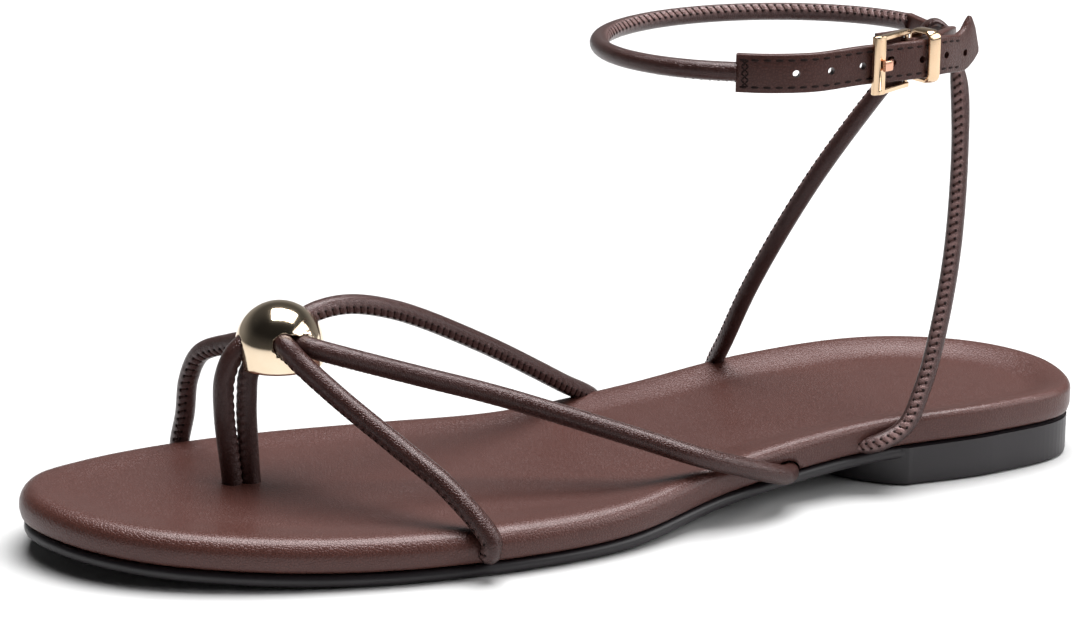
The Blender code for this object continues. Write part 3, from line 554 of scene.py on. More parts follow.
def seam_tree(name, sizes, one_stitch):
    """Tree that repeats one stitch along lines, a pitch apart, with X along the line and Z outwards.

    sizes names its further inputs, and one_stitch draws the stitch from them.
    """
    tree = bpy.data.node_groups.new(name, "GeometryNodeTree")
    face = tree.interface
    face.new_socket("Geometry", in_out="INPUT", socket_type="NodeSocketGeometry")
    for label in ("Pitch", "Slant", *sizes):
        face.new_socket(label, in_out="INPUT", socket_type="NodeSocketFloat")
    face.new_socket("Material", in_out="INPUT", socket_type="NodeSocketMaterial")
    face.new_socket("Geometry", in_out="OUTPUT", socket_type="NodeSocketGeometry")
    given = add_node(tree, "NodeGroupInput").outputs
    line = add_node(tree, "GeometryNodeMeshToCurve", {"Mesh": given["Geometry"]})
    spaced = add_node(tree, "GeometryNodeResampleCurve", {"Curve": line.outputs["Curve"],
                                                          "Length": given["Pitch"]}, mode="LENGTH")
    out = add_node(tree, "GeometryNodeInputNamedAttribute", {"Name": "out"}, data_type="FLOAT_VECTOR")
    along = add_node(tree, "GeometryNodeInputTangent")
    turned = add_node(tree, "FunctionNodeAxesToRotation",
                      {"Primary Axis": out.outputs["Attribute"],
                       "Secondary Axis": along.outputs["Tangent"]}, primary_axis="Z", secondary_axis="X")
    slant = add_node(tree, "ShaderNodeCombineXYZ", {"Z": given["Slant"]})
    slanted = add_node(tree, "FunctionNodeRotateRotation",
                       {"Rotation": turned.outputs["Rotation"], "Rotate By": slant.outputs["Vector"]},
                       rotation_space="LOCAL")
    row = add_node(tree, "GeometryNodeInstanceOnPoints",
                   {"Points": spaced.outputs["Curve"], "Instance": one_stitch(tree, given),
                    "Rotation": slanted.outputs["Rotation"]})
    real = add_node(tree, "GeometryNodeRealizeInstances", {"Geometry": row.outputs["Instances"]})
    painted = add_node(tree, "GeometryNodeSetMaterial", {"Geometry": real.outputs["Geometry"],
                                                         "Material": given["Material"]})
    add_node(tree, "NodeGroupOutput", {"Geometry": painted.outputs["Geometry"]})
    return tree


def overcast_thread(tree, given):
    """Overcast stitch: a short thread bent round a cord."""
    start = add_node(tree, "ShaderNodeMath", {0: given["Sweep"], 1: -0.5}, operation="MULTIPLY")
    arc = add_node(tree, "GeometryNodeCurveArc", {"Resolution": 6, "Radius": given["Cord Radius"],
                                                  "Start Angle": start.outputs["Value"],
                                                  "Sweep Angle": given["Sweep"]}, mode="RADIUS")
    strand = add_node(tree, "GeometryNodeCurvePrimitiveCircle", {"Resolution": 5,
                                                                 "Radius": given["Thread Radius"]})
    thread = add_node(tree, "GeometryNodeCurveToMesh", {"Curve": arc.outputs["Curve"], "Fill Caps": True,
                                                        "Profile Curve": strand.outputs["Curve"]})
    down = add_node(tree, "ShaderNodeMath", {0: given["Cord Radius"], 1: -1.0}, operation="MULTIPLY")
    sunk = add_node(tree, "ShaderNodeCombineXYZ", {"Z": down.outputs["Value"]})
    stitch = add_node(tree, "GeometryNodeTransform", {"Geometry": thread.outputs["Mesh"],
                                                      "Translation": sunk.outputs["Vector"],
                                                      "Rotation": (0.0, -math.pi / 2, 0.0)})
    return stitch.outputs["Geometry"]


def rounded_grain(tree, given):
    """Flat stitch, or the dark grain painted as a pinhole's shadow: a small rounded grain, set beside the
    line.
    """
    ball = add_node(tree, "GeometryNodeMeshUVSphere", {"Segments": 8, "Rings": 6, "Radius": 0.5})
    size = add_node(tree, "ShaderNodeCombineXYZ", {"X": given["Length"], "Y": given["Width"],
                                                   "Z": given["Height"]})
    moved = add_node(tree, "ShaderNodeCombineXYZ", {"X": given["Shift"], "Y": given["Side"],
                                                    "Z": given["Drop"]})
    tilted = add_node(tree, "ShaderNodeCombineXYZ", {"X": given["Tilt"]})
    grain = add_node(tree, "GeometryNodeTransform", {"Geometry": ball.outputs["Mesh"],
                                                     "Scale": size.outputs["Vector"],
                                                     "Rotation": tilted.outputs["Vector"],
                                                     "Translation": moved.outputs["Vector"]})
    return grain.outputs["Geometry"]


OVERCAST = seam_tree("overcast stitches", ("Cord Radius", "Sweep", "Thread Radius"), overcast_thread)
STITCH_ROW = seam_tree("stitch row", ("Length", "Width", "Height", "Shift", "Side", "Drop", "Tilt"),
                       rounded_grain)


def sew(name, tree, lines, material, **sizes):
    """One piece of stitches along lines, each a pair of points and outward directions, in metres."""
    mesh = bpy.data.meshes.new(name)
    starts = np.cumsum([0] + [len(points) for points, _ in lines])
    edges = [(i, i + 1) for first, end in zip(starts, starts[1:]) for i in range(first, end - 1)]
    mesh.from_pydata(np.vstack([points for points, _ in lines]).tolist(), edges, [])
    out = mesh.attributes.new("out", "FLOAT_VECTOR", "POINT")
    out.data.foreach_set("vector", np.vstack([outs for _, outs in lines]).ravel().astype(np.float32))
    piece = bpy.data.objects.new(name, mesh)
    bpy.context.scene.collection.objects.link(piece)
    rows = piece.modifiers.new(name, "NODES")
    rows.node_group = tree
    for item in tree.interface.items_tree:
        if item.in_out == "INPUT" and item.name == "Material":
            rows[item.identifier] = material
        elif item.in_out == "INPUT" and item.name != "Geometry":
            rows[item.identifier] = sizes.get(item.name.replace(" ", "_"), 0.0)
    make_plain(piece)
    piece.data.shade_smooth()
    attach(piece, "root")
    return piece


def sewing_thread(name, colour):
    """Waxed polyester thread: a dull twist that catches a little light."""
    material, tree, shader = new_material(name, roughness=0.6, ior=1.5, specular_ior_level=0.15)
    where = add_node(tree, "ShaderNodeTexCoord").outputs["Object"]
    twist = add_node(tree, "ShaderNodeTexNoise", {"Vector": where, "Scale": 1 / (THREAD_TWIST * MM)})
    tone = add_node(tree, "ShaderNodeMix", {"Factor": twist.outputs["Fac"], "A": linear(colour),
                                            "B": linear(CORD_SHADE)}, data_type="RGBA")
    tree.links.new(tone.outputs["Result"], shader.inputs["Base Color"])
    return material


def sew_seam(name, lines, thread, radius):
    """Overcast threads across a cord's seam, and dark grains at both their ends painted as the pinholes'
    shadow.
    """
    sew(f"{name}_stitches", OVERCAST, lines, thread, Pitch=SEAM_PITCH * MM, Cord_Radius=radius * MM,
        Sweep=2 * PINHOLE_ANGLE, Thread_Radius=THREAD_RADIUS * MM, Slant=THREAD_SLANT)
    length, width, height = np.array(PINHOLE_SIZE) * MM
    for label, side in (("left", 1), ("right", -1)):
        sew(f"{name}_pinholes_{label}", STITCH_ROW, lines, painted_pinhole_shadow, Pitch=SEAM_PITCH * MM,
            Length=length, Width=width, Height=height, Tilt=-side * PINHOLE_ANGLE,
            Shift=-side * PINHOLE_SHIFT * MM, Side=side * radius * math.sin(PINHOLE_ANGLE) * MM,
            Drop=radius * (math.cos(PINHOLE_ANGLE) - 1) * MM)


cord_leather = brown_leather("rolled_cord_leather", CORD_COLOUR, CORD_SHADE, roughness=0.31, gloss=0.42,
                             grain=CORD_GRAIN)
cord_thread = sewing_thread("cord_thread", THREAD_COLOUR)
painted_pinhole_shadow = sewing_thread("pinhole_shadow", PINHOLE_SHADOW_COLOUR)
front_lines = []
for cord_name, cord_route in FRONT_CORDS.items():
    widths = np.full((len(cord_route), 2), CORD_RADIUS)
    if not cord_name.startswith("post"):
        widths[-1] = TUCKED_RADIUS
    puckers = np.full(len(cord_route), SEAM_RIDGE)
    puckers[0] = 0.0
    seam_facing = np.linspace(*np.array(FRONT_SEAMS[cord_name]), len(cord_route))
    cord_shape, cord_lines = rolled_cord(cord_name, cord_route, seam_facing, widths, puckers)
    strap = new_piece(f"{cord_name}_cord", cord_shape, cord_leather)
    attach(strap, "root")
    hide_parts("front_straps")
    if not cord_name.startswith("post"):
        front_lines += cord_lines
sew_seam("front_seam", front_lines, cord_thread, CORD_RADIUS)
slit, _ = rolled_cord("strap slit", STRAP_SLIT, (0.0, 0.0, 1.0), CORD_RADIUS + SLIT_GAP, 0.0)
combine(footbed, "DIFFERENCE", [slit])


# Bead: a hollow ball of zinc alloy, plated pale gold and polished, open below and slotted where the
# cords come out. It mirrors its surroundings, so its colour is mostly that of the studio.
BEAD_RADIUS = 9.7
BEAD_WALL = 1.1
BEAD_SKIRT = 4.0
BEAD_TAPER = 0.15
SLOT_GAP = 0.35
# turns the bead a little in radians, so that no cut runs exactly through a row of its points
BEAD_SPIN = 0.03
# straight cuts that make the bead's openings: the notch over the post, the slot for the lateral straps
BEAD_CUTS = (
    [(-7.2, 195.0, 40.2), (-7.2, 205.0, 40.2)],
    [(-7.2, 195.3, 36.6), (-7.2, 205.3, 36.6)],
    [(-3.0, 191.3, 42.3), (6.0, 191.3, 42.3)],
)
GOLD_COLOUR = "f2e2ca"
GOLD_TARNISH = "e6cdae"
GOLD_CLOUD = 6.0


def polished_gold(name, roughness, colour=GOLD_COLOUR, tarnish=GOLD_TARNISH):
    """Pale gold plate: polished, with faint hairlines and a breath of warmer tone."""
    material, tree, shader = new_material(name, metallic=1.0)
    where = add_node(tree, "ShaderNodeTexCoord").outputs["Object"]
    cloud = add_node(tree, "ShaderNodeTexNoise", {"Vector": where, "Scale": 1 / (GOLD_CLOUD * MM),
                                                  "Detail": 3.0})
    tone = add_node(tree, "ShaderNodeMix", {"Factor": cloud.outputs["Fac"], "A": linear(colour),
                                            "B": linear(tarnish)}, data_type="RGBA")
    tree.links.new(tone.outputs["Result"], shader.inputs["Base Color"])
    gloss = add_node(tree, "ShaderNodeMapRange", {"Value": cloud.outputs["Fac"], "To Min": roughness,
                                                  "To Max": roughness + 0.06})
    tree.links.new(gloss.outputs["Result"], shader.inputs["Roughness"])
    return material


def turned_ring(radius, rise, count=72):
    """Ring round the bead's upright axis, at a rise over the knot."""
    middle = place(*KNOT)
    return [middle + Vector((radius * math.cos(spin), radius * math.sin(spin), rise)) * MM
            for spin in BEAD_SPIN + np.linspace(0, 2 * math.pi, count if radius else 1, endpoint=False)]


dome = [(math.sin(turn), math.cos(turn)) for turn in np.radians(np.linspace(0, 90, 30))]
skirt = [(BEAD_TAPER * part**2, -BEAD_SKIRT * part) for part in np.linspace(0, 1, 12)[1:]]
bead_inside = BEAD_RADIUS - BEAD_WALL
profile = [(BEAD_RADIUS * out, BEAD_RADIUS * rise) for out, rise in dome]
profile += [(BEAD_RADIUS - taper, rise) for taper, rise in skirt]
rim = np.radians(np.linspace(0, 180, 9))[1:-1]
profile += [((BEAD_RADIUS + bead_inside) / 2 - BEAD_TAPER + BEAD_WALL / 2 * math.cos(turn),
             -BEAD_SKIRT - BEAD_WALL / 2 * math.sin(turn)) for turn in rim]
profile += [(bead_inside - taper, rise) for taper, rise in reversed(skirt)]
profile += [(bead_inside * out, bead_inside * rise) for out, rise in reversed(dome)]
bead_rings = [turned_ring(*spot) for spot in profile]
bead_gold = polished_gold("polished_bead_gold", roughness=0.08)
bead = new_piece("gold_bead", loft("gold_bead", bead_rings), bead_gold)
slots = [(route[part], FRONT_SEAMS[label][0]) for label, route in FRONT_CORDS.items()
         for part in (slice(0, 3), slice(2, 5))]
slots += [(route, (0.1, 0.0, 1.0)) for route in BEAD_CUTS]
combine(bead, "DIFFERENCE", [rolled_cord("slot", route, facing, CORD_RADIUS + SLOT_GAP, 0.0)[0]
                             for route, facing in slots])
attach(bead, "root")
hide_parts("bead")


# Heel cord: one rolled cord that rises from the lateral edge, is pressed flat where it arches over the
# tab behind the ankle, and runs down to the medial edge. Its seam faces the toe on both uprights.
UPRIGHT_RADIUS = 2.0
HEEL_RIDGE = 0.19
# strength of the painted highlight on this cord's seam ridges
HEEL_RIDGE_SHEEN = 0.9
ARCH_HALF_WIDTH = 1.9
ARCH_HALF_THICKNESS = 0.75
# the points of the route that are pressed flat
ARCH = range(8, 13)
HEEL_ROUTE = (
    [edge_point(1, 68.0, -5.0, 1.7), edge_point(1, 62.5, 0.8, 2.4)]
    + [(30.4, 55.7, 15.2), (28.6, 50.5, 22.7), (26.4, 46.0, 33.0), (22.4, 40.2, 52.1),
       (17.5, 36.2, 75.0), (14.3, 35.2, 90.0), (11.0, 35.3, 97.6), (9.0, 36.0, 101.6),
       (7.2, 37.6, 103.0), (5.8, 39.4, 101.9), (4.2, 41.2, 96.4), (-1.0, 47.9, 85.2), (-9.7, 59.6, 63.2),
       (-19.6, 69.1, 38.1), (-25.4, 72.9, 23.0)]
    + tuck(-1, 73.0, 0.2, 4.6)
)
LATERAL_SEAM, ARCH_SIDE, MEDIAL_SEAM = (0.72, 0.68, 0.15), (0.95, 0.3, 0.0), (-0.65, 0.75, 0.0)

heel_facing = ([LATERAL_SEAM] * ARCH.start + [ARCH_SIDE] * len(ARCH)
               + [MEDIAL_SEAM] * (len(HEEL_ROUTE) - ARCH.stop))
heel_widths = np.full((len(HEEL_ROUTE), 2), UPRIGHT_RADIUS)
heel_puckers = np.full(len(HEEL_ROUTE), HEEL_RIDGE)
heel_widths[[0, -1]] = TUCKED_RADIUS
for knot in ARCH:
    heel_widths[knot] = ARCH_HALF_WIDTH, ARCH_HALF_THICKNESS
    heel_puckers[knot] = 0.0
heel_shape, heel_lines = rolled_cord("upright_cord", HEEL_ROUTE, heel_facing, heel_widths, heel_puckers,
                                     painted_ridge_sheen=HEEL_RIDGE_SHEEN)
heel_cord = new_piece("upright_cord", heel_shape, cord_leather)
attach(heel_cord, "root")
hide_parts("heel_cord")
sew_seam("upright_seam", heel_lines, cord_thread, UPRIGHT_RADIUS)


# Ankle cord: the same rolled cord round the front of the ankle, sewn to the tab behind and to the flat
# strap in front. It twists on its way, so the seam lies on top at the inner side and below at the outer.
RING_LATERAL = 0.5
RING_STATION = 75.7
RING_HEIGHT = 100.4
RING_HALF_WIDTH = 35.5
RING_HALF_LENGTH = 40.2
RING_CORD_RADIUS = 2.05
# strength of the painted highlight on this cord's seam ridges
RING_RIDGE_SHEEN = 0.45
RING_CORD_START = -11.0
RING_CORD_END = 126.2 - 360
# share of the way round, how far the seam faces inwards, how far upwards
RING_SEAM = ((0.0, 0.8, 0.6), (0.45, 0.8, 0.6), (0.62, 1.0, 0.3), (0.75, 1.0, -0.5), (0.85, 0.55, -0.9),
             (1.0, 0.4, -0.95))


def ring_out(angle):
    """Outward direction at an angle round the ankle ring, as lateral offset and station."""
    turn = math.radians(angle)
    out = np.array((math.sin(turn) / RING_HALF_WIDTH, -math.cos(turn) / RING_HALF_LENGTH))
    return out / np.linalg.norm(out)


def ring_at(angle, stand_off=0.0):
    """Plan position on the ankle ring, moved outwards by a stand-off. Angle 0 is behind, 90 lateral."""
    turn = math.radians(angle)
    on_ring = np.array((RING_LATERAL + RING_HALF_WIDTH * math.sin(turn),
                        RING_STATION - RING_HALF_LENGTH * math.cos(turn)))
    return on_ring + stand_off * ring_out(angle)


ring_angles = np.linspace(RING_CORD_START, RING_CORD_END, 24)
ring_route = [(*ring_at(angle), RING_HEIGHT) for angle in ring_angles]
shares = np.linspace(0, 1, len(ring_angles))
seam_shares, seam_in, seam_up = np.array(RING_SEAM).T
inwards, upwards = np.interp(shares, seam_shares, seam_in), np.interp(shares, seam_shares, seam_up)
ring_facing = [(*(-ring_out(angle) * inward), upward)
               for angle, inward, upward in zip(ring_angles, inwards, upwards)]
ring_shape, ring_lines = rolled_cord("ankle_ring_cord", ring_route, ring_facing, RING_CORD_RADIUS,
                                     painted_ridge_sheen=RING_RIDGE_SHEEN)
ankle_cord = new_piece("ankle_ring_cord", ring_shape, cord_leather)
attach(ankle_cord, "root")
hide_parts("ankle_cord")
sew_seam("ankle_seam", ring_lines, cord_thread, RING_CORD_RADIUS)


# Ankle strap: two plies of leather, cemented and sewn near both edges, punched with a row of holes. Its
# tip has passed through buckle and keeper and curls off the ring with one corner up.
BUCKLE_HEIGHT = 101.1
STRAP_HALF_HEIGHT = 4.2
STRAP_THICKNESS = 1.8
STRAP_STEP = 0.8
# angle round the ring, stand-off of the strap's middle from the ring line, height of its middle
STRAP_PATH = (
    (126.5, 0.0, 100.2),
    (118.5, 1.0, 100.3),
    (109.0, 1.5, 100.4),
    (101.5, 1.4, 100.5),
    (87.0, 0.8, BUCKLE_HEIGHT),
    (76.5, 1.3, BUCKLE_HEIGHT),
    (68.0, 2.5, BUCKLE_HEIGHT),
    (61.5, 3.2, BUCKLE_HEIGHT),
    (56.0, 3.9, BUCKLE_HEIGHT),
    (47.0, 4.9, 100.5),
    (39.0, 7.0, 100.5),
)
# distance before the tip, lower edge and upper edge from the strap's middle, thickness
STRAP_TIP = (
    (8.0, -STRAP_HALF_HEIGHT, STRAP_HALF_HEIGHT, STRAP_THICKNESS),
    (5.6, -4.1, 5.2, 1.7),
    (4.2, -3.8, 6.9, 1.6),
    (3.2, -3.4, 7.9, 1.4),
    (1.7, -2.6, 5.6, 1.3),
    (0.6, -1.7, 2.6, 1.2),
    (0.0, -1.1, 0.8, 1.2),
)
HOLE_RADIUS = 0.8
HOLE_PITCH = 7.65
HOLE_COUNT = 7
FIRST_HOLE_FROM_START = 12.7
EDGE_ROUNDING = 0.45
ROUNDING_SHARE = 0.45
STRAP_COLOUR = "50302a"
STRAP_SHADE = "3a211c"
# near black: a dark thread, darkened further as painted shadow in its sunken stitch holes
STRAP_THREAD_AND_SHADOW_COLOUR = "0f0807"
# The rows of stitches: inset from the edges, distance from start and tip, depth in the leather, pitch,
# and a stitch's length, width and height.
STITCH_INSET = 1.25
ROW_FROM_START = 1.3
ROW_FROM_TIP = 8.5
STITCH_SINK = 0.02
STRAP_PITCH = 2.6
STITCH_SIZE = (1.8, 0.62, 0.4)
# the crossed stitches at the strap's start
BOX_FROM_START = (1.2, 2.8)
CROSS_COUNT = 4
CROSS_PITCH = 0.8
CROSS_SIZE = (1.1, 0.4, 0.36)


def ribbon_ring(inner, outer, low, high):
    """Rounded section of a flat strip that stands on edge, from its inner and outer plan points."""
    thick = np.linalg.norm(outer - inner)
    across, middle = (outer - inner) / thick, (inner + outer) / 2
    rounding = min(EDGE_ROUNDING, ROUNDING_SHARE * thick, ROUNDING_SHARE * (high - low))
    ring = []
    for side, end, start in ((1, high, 0), (-1, high, 90), (-1, low, 180), (1, low, 270)):
        for turn in np.radians(start + np.array((0, 30, 60, 90))):
            spot = middle + across * (side * (thick / 2 - rounding) + rounding * math.cos(turn))
            lift = end - rounding * math.copysign(1, end - (low + high) / 2) + rounding * math.sin(turn)
            ring.append(place(*spot, lift))
    return ring


def ribbon(name, path, lower, upper, thickness):
    """Flat strip with rounded edges along a plan path, between the heights of its two edges."""
    normals = side_normals(path)
    shape = np.broadcast(np.array(path)[:, 0], lower, upper, thickness)
    return loft(name, [ribbon_ring(spot - normal * thick / 2, spot + normal * thick / 2, low, high)
                       for spot, normal, (_, low, high, thick) in zip(np.array(path), normals, shape)])


def rod(radius, height, matrix, segments=32):
    """Closed cylinder along the Z axis of a matrix."""
    work = bmesh.new()
    bmesh.ops.create_cone(work, cap_ends=True, segments=segments, radius1=radius * MM,
                          radius2=radius * MM, depth=height * MM, matrix=matrix)
    return mesh_from("rod", work)


dense = smooth([(*ring_at(angle, off), height) for angle, off, height in STRAP_PATH], 400)
strap_length = run_of(dense)[-1]
before, *tip = np.array(STRAP_TIP).T
strap_run = np.linspace(0, strap_length, round(strap_length / STRAP_STEP))
strap_route = np.stack([np.interp(strap_run, run_of(dense), axis) for axis in dense.T], axis=1)
low, high, thick = (np.interp(strap_run, strap_length - before, column) for column in tip)
strap_path, strap_middle = strap_route[:, :2], strap_route[:, 2]
strap_normals = side_normals(strap_path)
strap_leather = brown_leather("flat_strap_leather", STRAP_COLOUR, STRAP_SHADE, roughness=0.38, gloss=0.26)
ankle_strap = new_piece("flat_ankle_strap", ribbon("flat_ankle_strap", strap_path, strap_middle + low,
                                                   strap_middle + high, thick), strap_leather)
PRONG_THICKNESS = 0.8
PRONG_HALF_HEIGHT = 1.2
PRONG_ROOM = 0.3
HINGE_ANGLE = 68.0
HINGE_STAND_OFF = -0.1
HINGE_RADIUS = 0.5
HINGE_CLEARANCE = 0.2
FRONT_BAR_ANGLE = 82.8
# angle round the ring, stand-off: under the strap, up through its hole, down on the front bar
PRONG_PATH = (
    (73.0, 0.5),
    (75.8, 0.7),
    (77.6, 2.2),
    (79.1, 3.7),
    (FRONT_BAR_ANGLE - 0.6, 4.2),
)


def prong_route(count):
    """Plan path of the prong: round the hinge bar, out through a strap hole, on to the front bar."""
    hinge = ring_at(HINGE_ANGLE, HINGE_STAND_OFF)
    blade = [ring_at(angle, stand_off) for angle, stand_off in PRONG_PATH]
    radius = HINGE_RADIUS + HINGE_CLEARANCE + PRONG_THICKNESS / 2
    to_blade = math.atan2(blade[0][1] - hinge[1], blade[0][0] - hinge[0])
    curl = [hinge + radius * np.array((math.cos(to_blade + turn), math.sin(to_blade + turn)))
            for turn in np.radians(np.linspace(-340, -90, 11))]
    return smooth(curl + blade, count)


def across_strap(at):
    """World matrix at a distance along the strap, with Z out of its face."""
    spot = place(*[np.interp(at, strap_run, column) for column in strap_route.T])
    out = Vector((np.interp(at, strap_run, strap_normals[:, 0]),
                  -np.interp(at, strap_run, strap_normals[:, 1]), 0))
    return Matrix.Translation(spot) @ Vector((0, 0, 1)).rotation_difference(out).to_matrix().to_4x4()


punches = [rod(HOLE_RADIUS, 3 * STRAP_THICKNESS, across_strap(FIRST_HOLE_FROM_START + hole * HOLE_PITCH))
           for hole in range(HOLE_COUNT)]
prong_room = ribbon("prong room", prong_route(60), BUCKLE_HEIGHT - PRONG_HALF_HEIGHT - PRONG_ROOM,
                    BUCKLE_HEIGHT + PRONG_HALF_HEIGHT + PRONG_ROOM, PRONG_THICKNESS + 2 * PRONG_ROOM)
combine(ankle_strap, "DIFFERENCE", punches + [prong_room])
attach(ankle_strap, "root")
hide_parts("ankle_strap")


def strap_line(edge_heights, inset, first, last, face):
    """Stitch line along one edge of the strap, on its outer (1) or inner (-1) face."""
    sewn = (strap_run >= first) & (strap_run <= last)
    side = np.sign(edge_heights.mean())
    points, outs = [], []
    for i in np.nonzero(sewn)[0]:
        spot = strap_path[i] + strap_normals[i] * face * (thick[i] / 2 - STITCH_SINK)
        points.append(place(*spot, strap_middle[i] + edge_heights[i] - side * inset))
        outs.append(np.array((strap_normals[i, 0], -strap_normals[i, 1], 0)) * face)
    return np.array(points), np.array(outs)


strap_lines = [strap_line(edges, STITCH_INSET, ROW_FROM_START, strap_length - ROW_FROM_TIP, face)
               for edges in (low, high) for face in (1, -1)]


def cross_stitch(face, rung, slope):
    """Line of one slanted stitch at the strap's start, on a rung of its row of crosses."""
    points, outs = [], []
    for share in (0.25, 0.75):
        matrix = across_strap(np.interp(share, (0, 1), BOX_FROM_START[::slope]))
        out = matrix.to_3x3() @ Vector((0, 0, face))
        lift = (STRAP_HALF_HEIGHT - STITCH_INSET) * (1 - (rung + share) * 2 / CROSS_COUNT)
        on_face = out * (STRAP_THICKNESS / 2 - STITCH_SINK) * MM
        points.append(matrix.translation + on_face + Vector((0, 0, lift * MM)))
        outs.append(out)
    return np.array(points), np.array(outs)


cross_lines = [cross_stitch(face, rung, slope)
               for face in (1, -1) for rung in range(CROSS_COUNT) for slope in (1, -1)]
# the strap's stitches: dark thread with painted shadow of their sunken holes
strap_thread = sewing_thread("strap_thread", STRAP_THREAD_AND_SHADOW_COLOUR)
for row_name, row_lines, pitch, (length, width, height) in (
        ("strap_stitches", strap_lines, STRAP_PITCH, STITCH_SIZE),
        ("strap_cross_stitches", cross_lines, CROSS_PITCH, CROSS_SIZE)):
    sew(row_name, STITCH_ROW, row_lines, strap_thread, Pitch=pitch * MM, Length=length * MM,
        Width=width * MM, Height=height * MM)


# Buckle tab: a flat strip of the same leather behind the ankle, folded round the buckle's hinge bar,
# with a thin tongue behind the frame that keeps the metal off the skin.
TAB_THICKNESS = 2.0
# angle round the ring, stand-off from the ring line, half height, height of its middle
TAB_PATH = (
    (-12.0, 0.0, 2.1, RING_HEIGHT),
    (8.0, 0.0, 2.6, 99.1),
    (25.0, 0.5, 3.6, 99.9),
    (42.0, 1.1, 4.2, 101.0),
    (58.0, 1.0, STRAP_HALF_HEIGHT, BUCKLE_HEIGHT),
    (HINGE_ANGLE, 0.0, STRAP_HALF_HEIGHT, BUCKLE_HEIGHT),
)
FOLD_RADIUS = 1.35
GUARD_THICKNESS = 0.8
GUARD_STAND_OFF = -0.9
GUARD_HALF_HEIGHT = 6.3
GUARD_END_ANGLE = 80.3


def ring_frame(angle, stand_off):
    """Matrix of a spot at the buckle's height: X along the ring towards the toe, Y outwards, Z up."""
    here = place(*ring_at(angle, stand_off), BUCKLE_HEIGHT)
    along = (place(*ring_at(angle + 0.5, stand_off), BUCKLE_HEIGHT) - here).normalized()
    up = Vector((0, 0, 1))
    return Matrix.Translation(here) @ Matrix((along, up.cross(along), up)).transposed().to_4x4()


tab_rows = smooth([(*ring_at(angle, off), half, middle) for angle, off, half, middle in TAB_PATH], 60)
tab_mesh = ribbon("leather_buckle_tab", tab_rows[:, :2], tab_rows[:, 3] - tab_rows[:, 2],
                  tab_rows[:, 3] + tab_rows[:, 2], TAB_THICKNESS)
buckle_tab = new_piece("leather_buckle_tab", tab_mesh, strap_leather)
guard_path = [ring_at(angle, GUARD_STAND_OFF) for angle in np.linspace(HINGE_ANGLE, GUARD_END_ANGLE, 20)]
hinge_frame = ring_frame(HINGE_ANGLE, HINGE_STAND_OFF)
combine(buckle_tab, "UNION", [
    ribbon("guard", guard_path, BUCKLE_HEIGHT - GUARD_HALF_HEIGHT, BUCKLE_HEIGHT + GUARD_HALF_HEIGHT,
           GUARD_THICKNESS),
    rod(FOLD_RADIUS, 2 * STRAP_HALF_HEIGHT, hinge_frame)])
hinge_bore = HINGE_RADIUS + HINGE_CLEARANCE
combine(buckle_tab, "DIFFERENCE", [
    rod(hinge_bore, 3 * STRAP_HALF_HEIGHT, hinge_frame),
    rod(hinge_bore + PRONG_THICKNESS + PRONG_ROOM, 2 * (PRONG_HALF_HEIGHT + PRONG_ROOM), hinge_frame)])
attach(buckle_tab, "root")
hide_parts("buckle_tab")


# Buckle: a cast frame of plated zinc with a flat front bar, two side bars and a hinge bar, and a prong
# of bent strip that hooks round the hinge bar and rests its tip on the front bar.
FRONT_BAR_STAND_OFF = 2.8
FRONT_BAR_WIDTH = 3.0
FRONT_BAR_THICKNESS = 1.3
SIDE_BAR_HEIGHT = 1.2
SIDE_BAR_THICKNESS = 1.6
FRAME_HALF_HEIGHT = 6.4
BAR_EDGE = 0.3
BUCKLE_COLOUR = "e3c9ab"
BUCKLE_TARNISH = "d6b592"
PRONG_COLOUR = "e2b198"
PRONG_TARNISH = "d69d82"


def block(size, matrix):
    """Box with rounded edges, set in a matrix."""
    work = bmesh.new()
    bmesh.ops.create_cube(work, size=1.0)
    bmesh.ops.scale(work, vec=Vector(size) * MM, verts=work.verts)
    bmesh.ops.bevel(work, geom=work.edges[:], offset=BAR_EDGE * MM, segments=4, affect="EDGES",
                    profile=0.5)
    bmesh.ops.transform(work, matrix=matrix, verts=work.verts)
    bmesh.ops.recalc_face_normals(work, faces=work.faces)
    return mesh_from("block", work)


buckle_gold = polished_gold("polished_buckle_gold", 0.16, BUCKLE_COLOUR, BUCKLE_TARNISH)
front_frame = ring_frame(FRONT_BAR_ANGLE, FRONT_BAR_STAND_OFF)
span = front_frame.translation - hinge_frame.translation
along_span = span.normalized()
upright = Vector((0, 0, 1))
level = Matrix((along_span, upright.cross(along_span), upright)).transposed().to_4x4()
side_length = span.length / MM + 2 * HINGE_RADIUS
arms = []
for up in (1, -1):
    lift = Vector((0, 0, up * (FRAME_HALF_HEIGHT - SIDE_BAR_HEIGHT / 2) * MM))
    middle = Matrix.Translation((front_frame.translation + hinge_frame.translation) / 2 + lift) @ level
    arms.append(block((side_length, SIDE_BAR_THICKNESS, SIDE_BAR_HEIGHT), middle))
arms.append(rod(HINGE_RADIUS, 2 * FRAME_HALF_HEIGHT - SIDE_BAR_HEIGHT, hinge_frame))
front_bar = block((FRONT_BAR_WIDTH, FRONT_BAR_THICKNESS, 2 * FRAME_HALF_HEIGHT), front_frame)
buckle_frame = new_piece("gold_buckle_frame", front_bar, buckle_gold)
combine(buckle_frame, "UNION", arms)
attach(buckle_frame, "root")
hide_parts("buckle_frame")

rose_gold = polished_gold("polished_prong_gold", 0.18, PRONG_COLOUR, PRONG_TARNISH)
prong_mesh = ribbon("gold_prong", prong_route(80), BUCKLE_HEIGHT - PRONG_HALF_HEIGHT,
                    BUCKLE_HEIGHT + PRONG_HALF_HEIGHT, PRONG_THICKNESS)
prong = new_piece("gold_prong", prong_mesh, rose_gold)
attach(prong, "root")
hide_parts("buckle_prong")


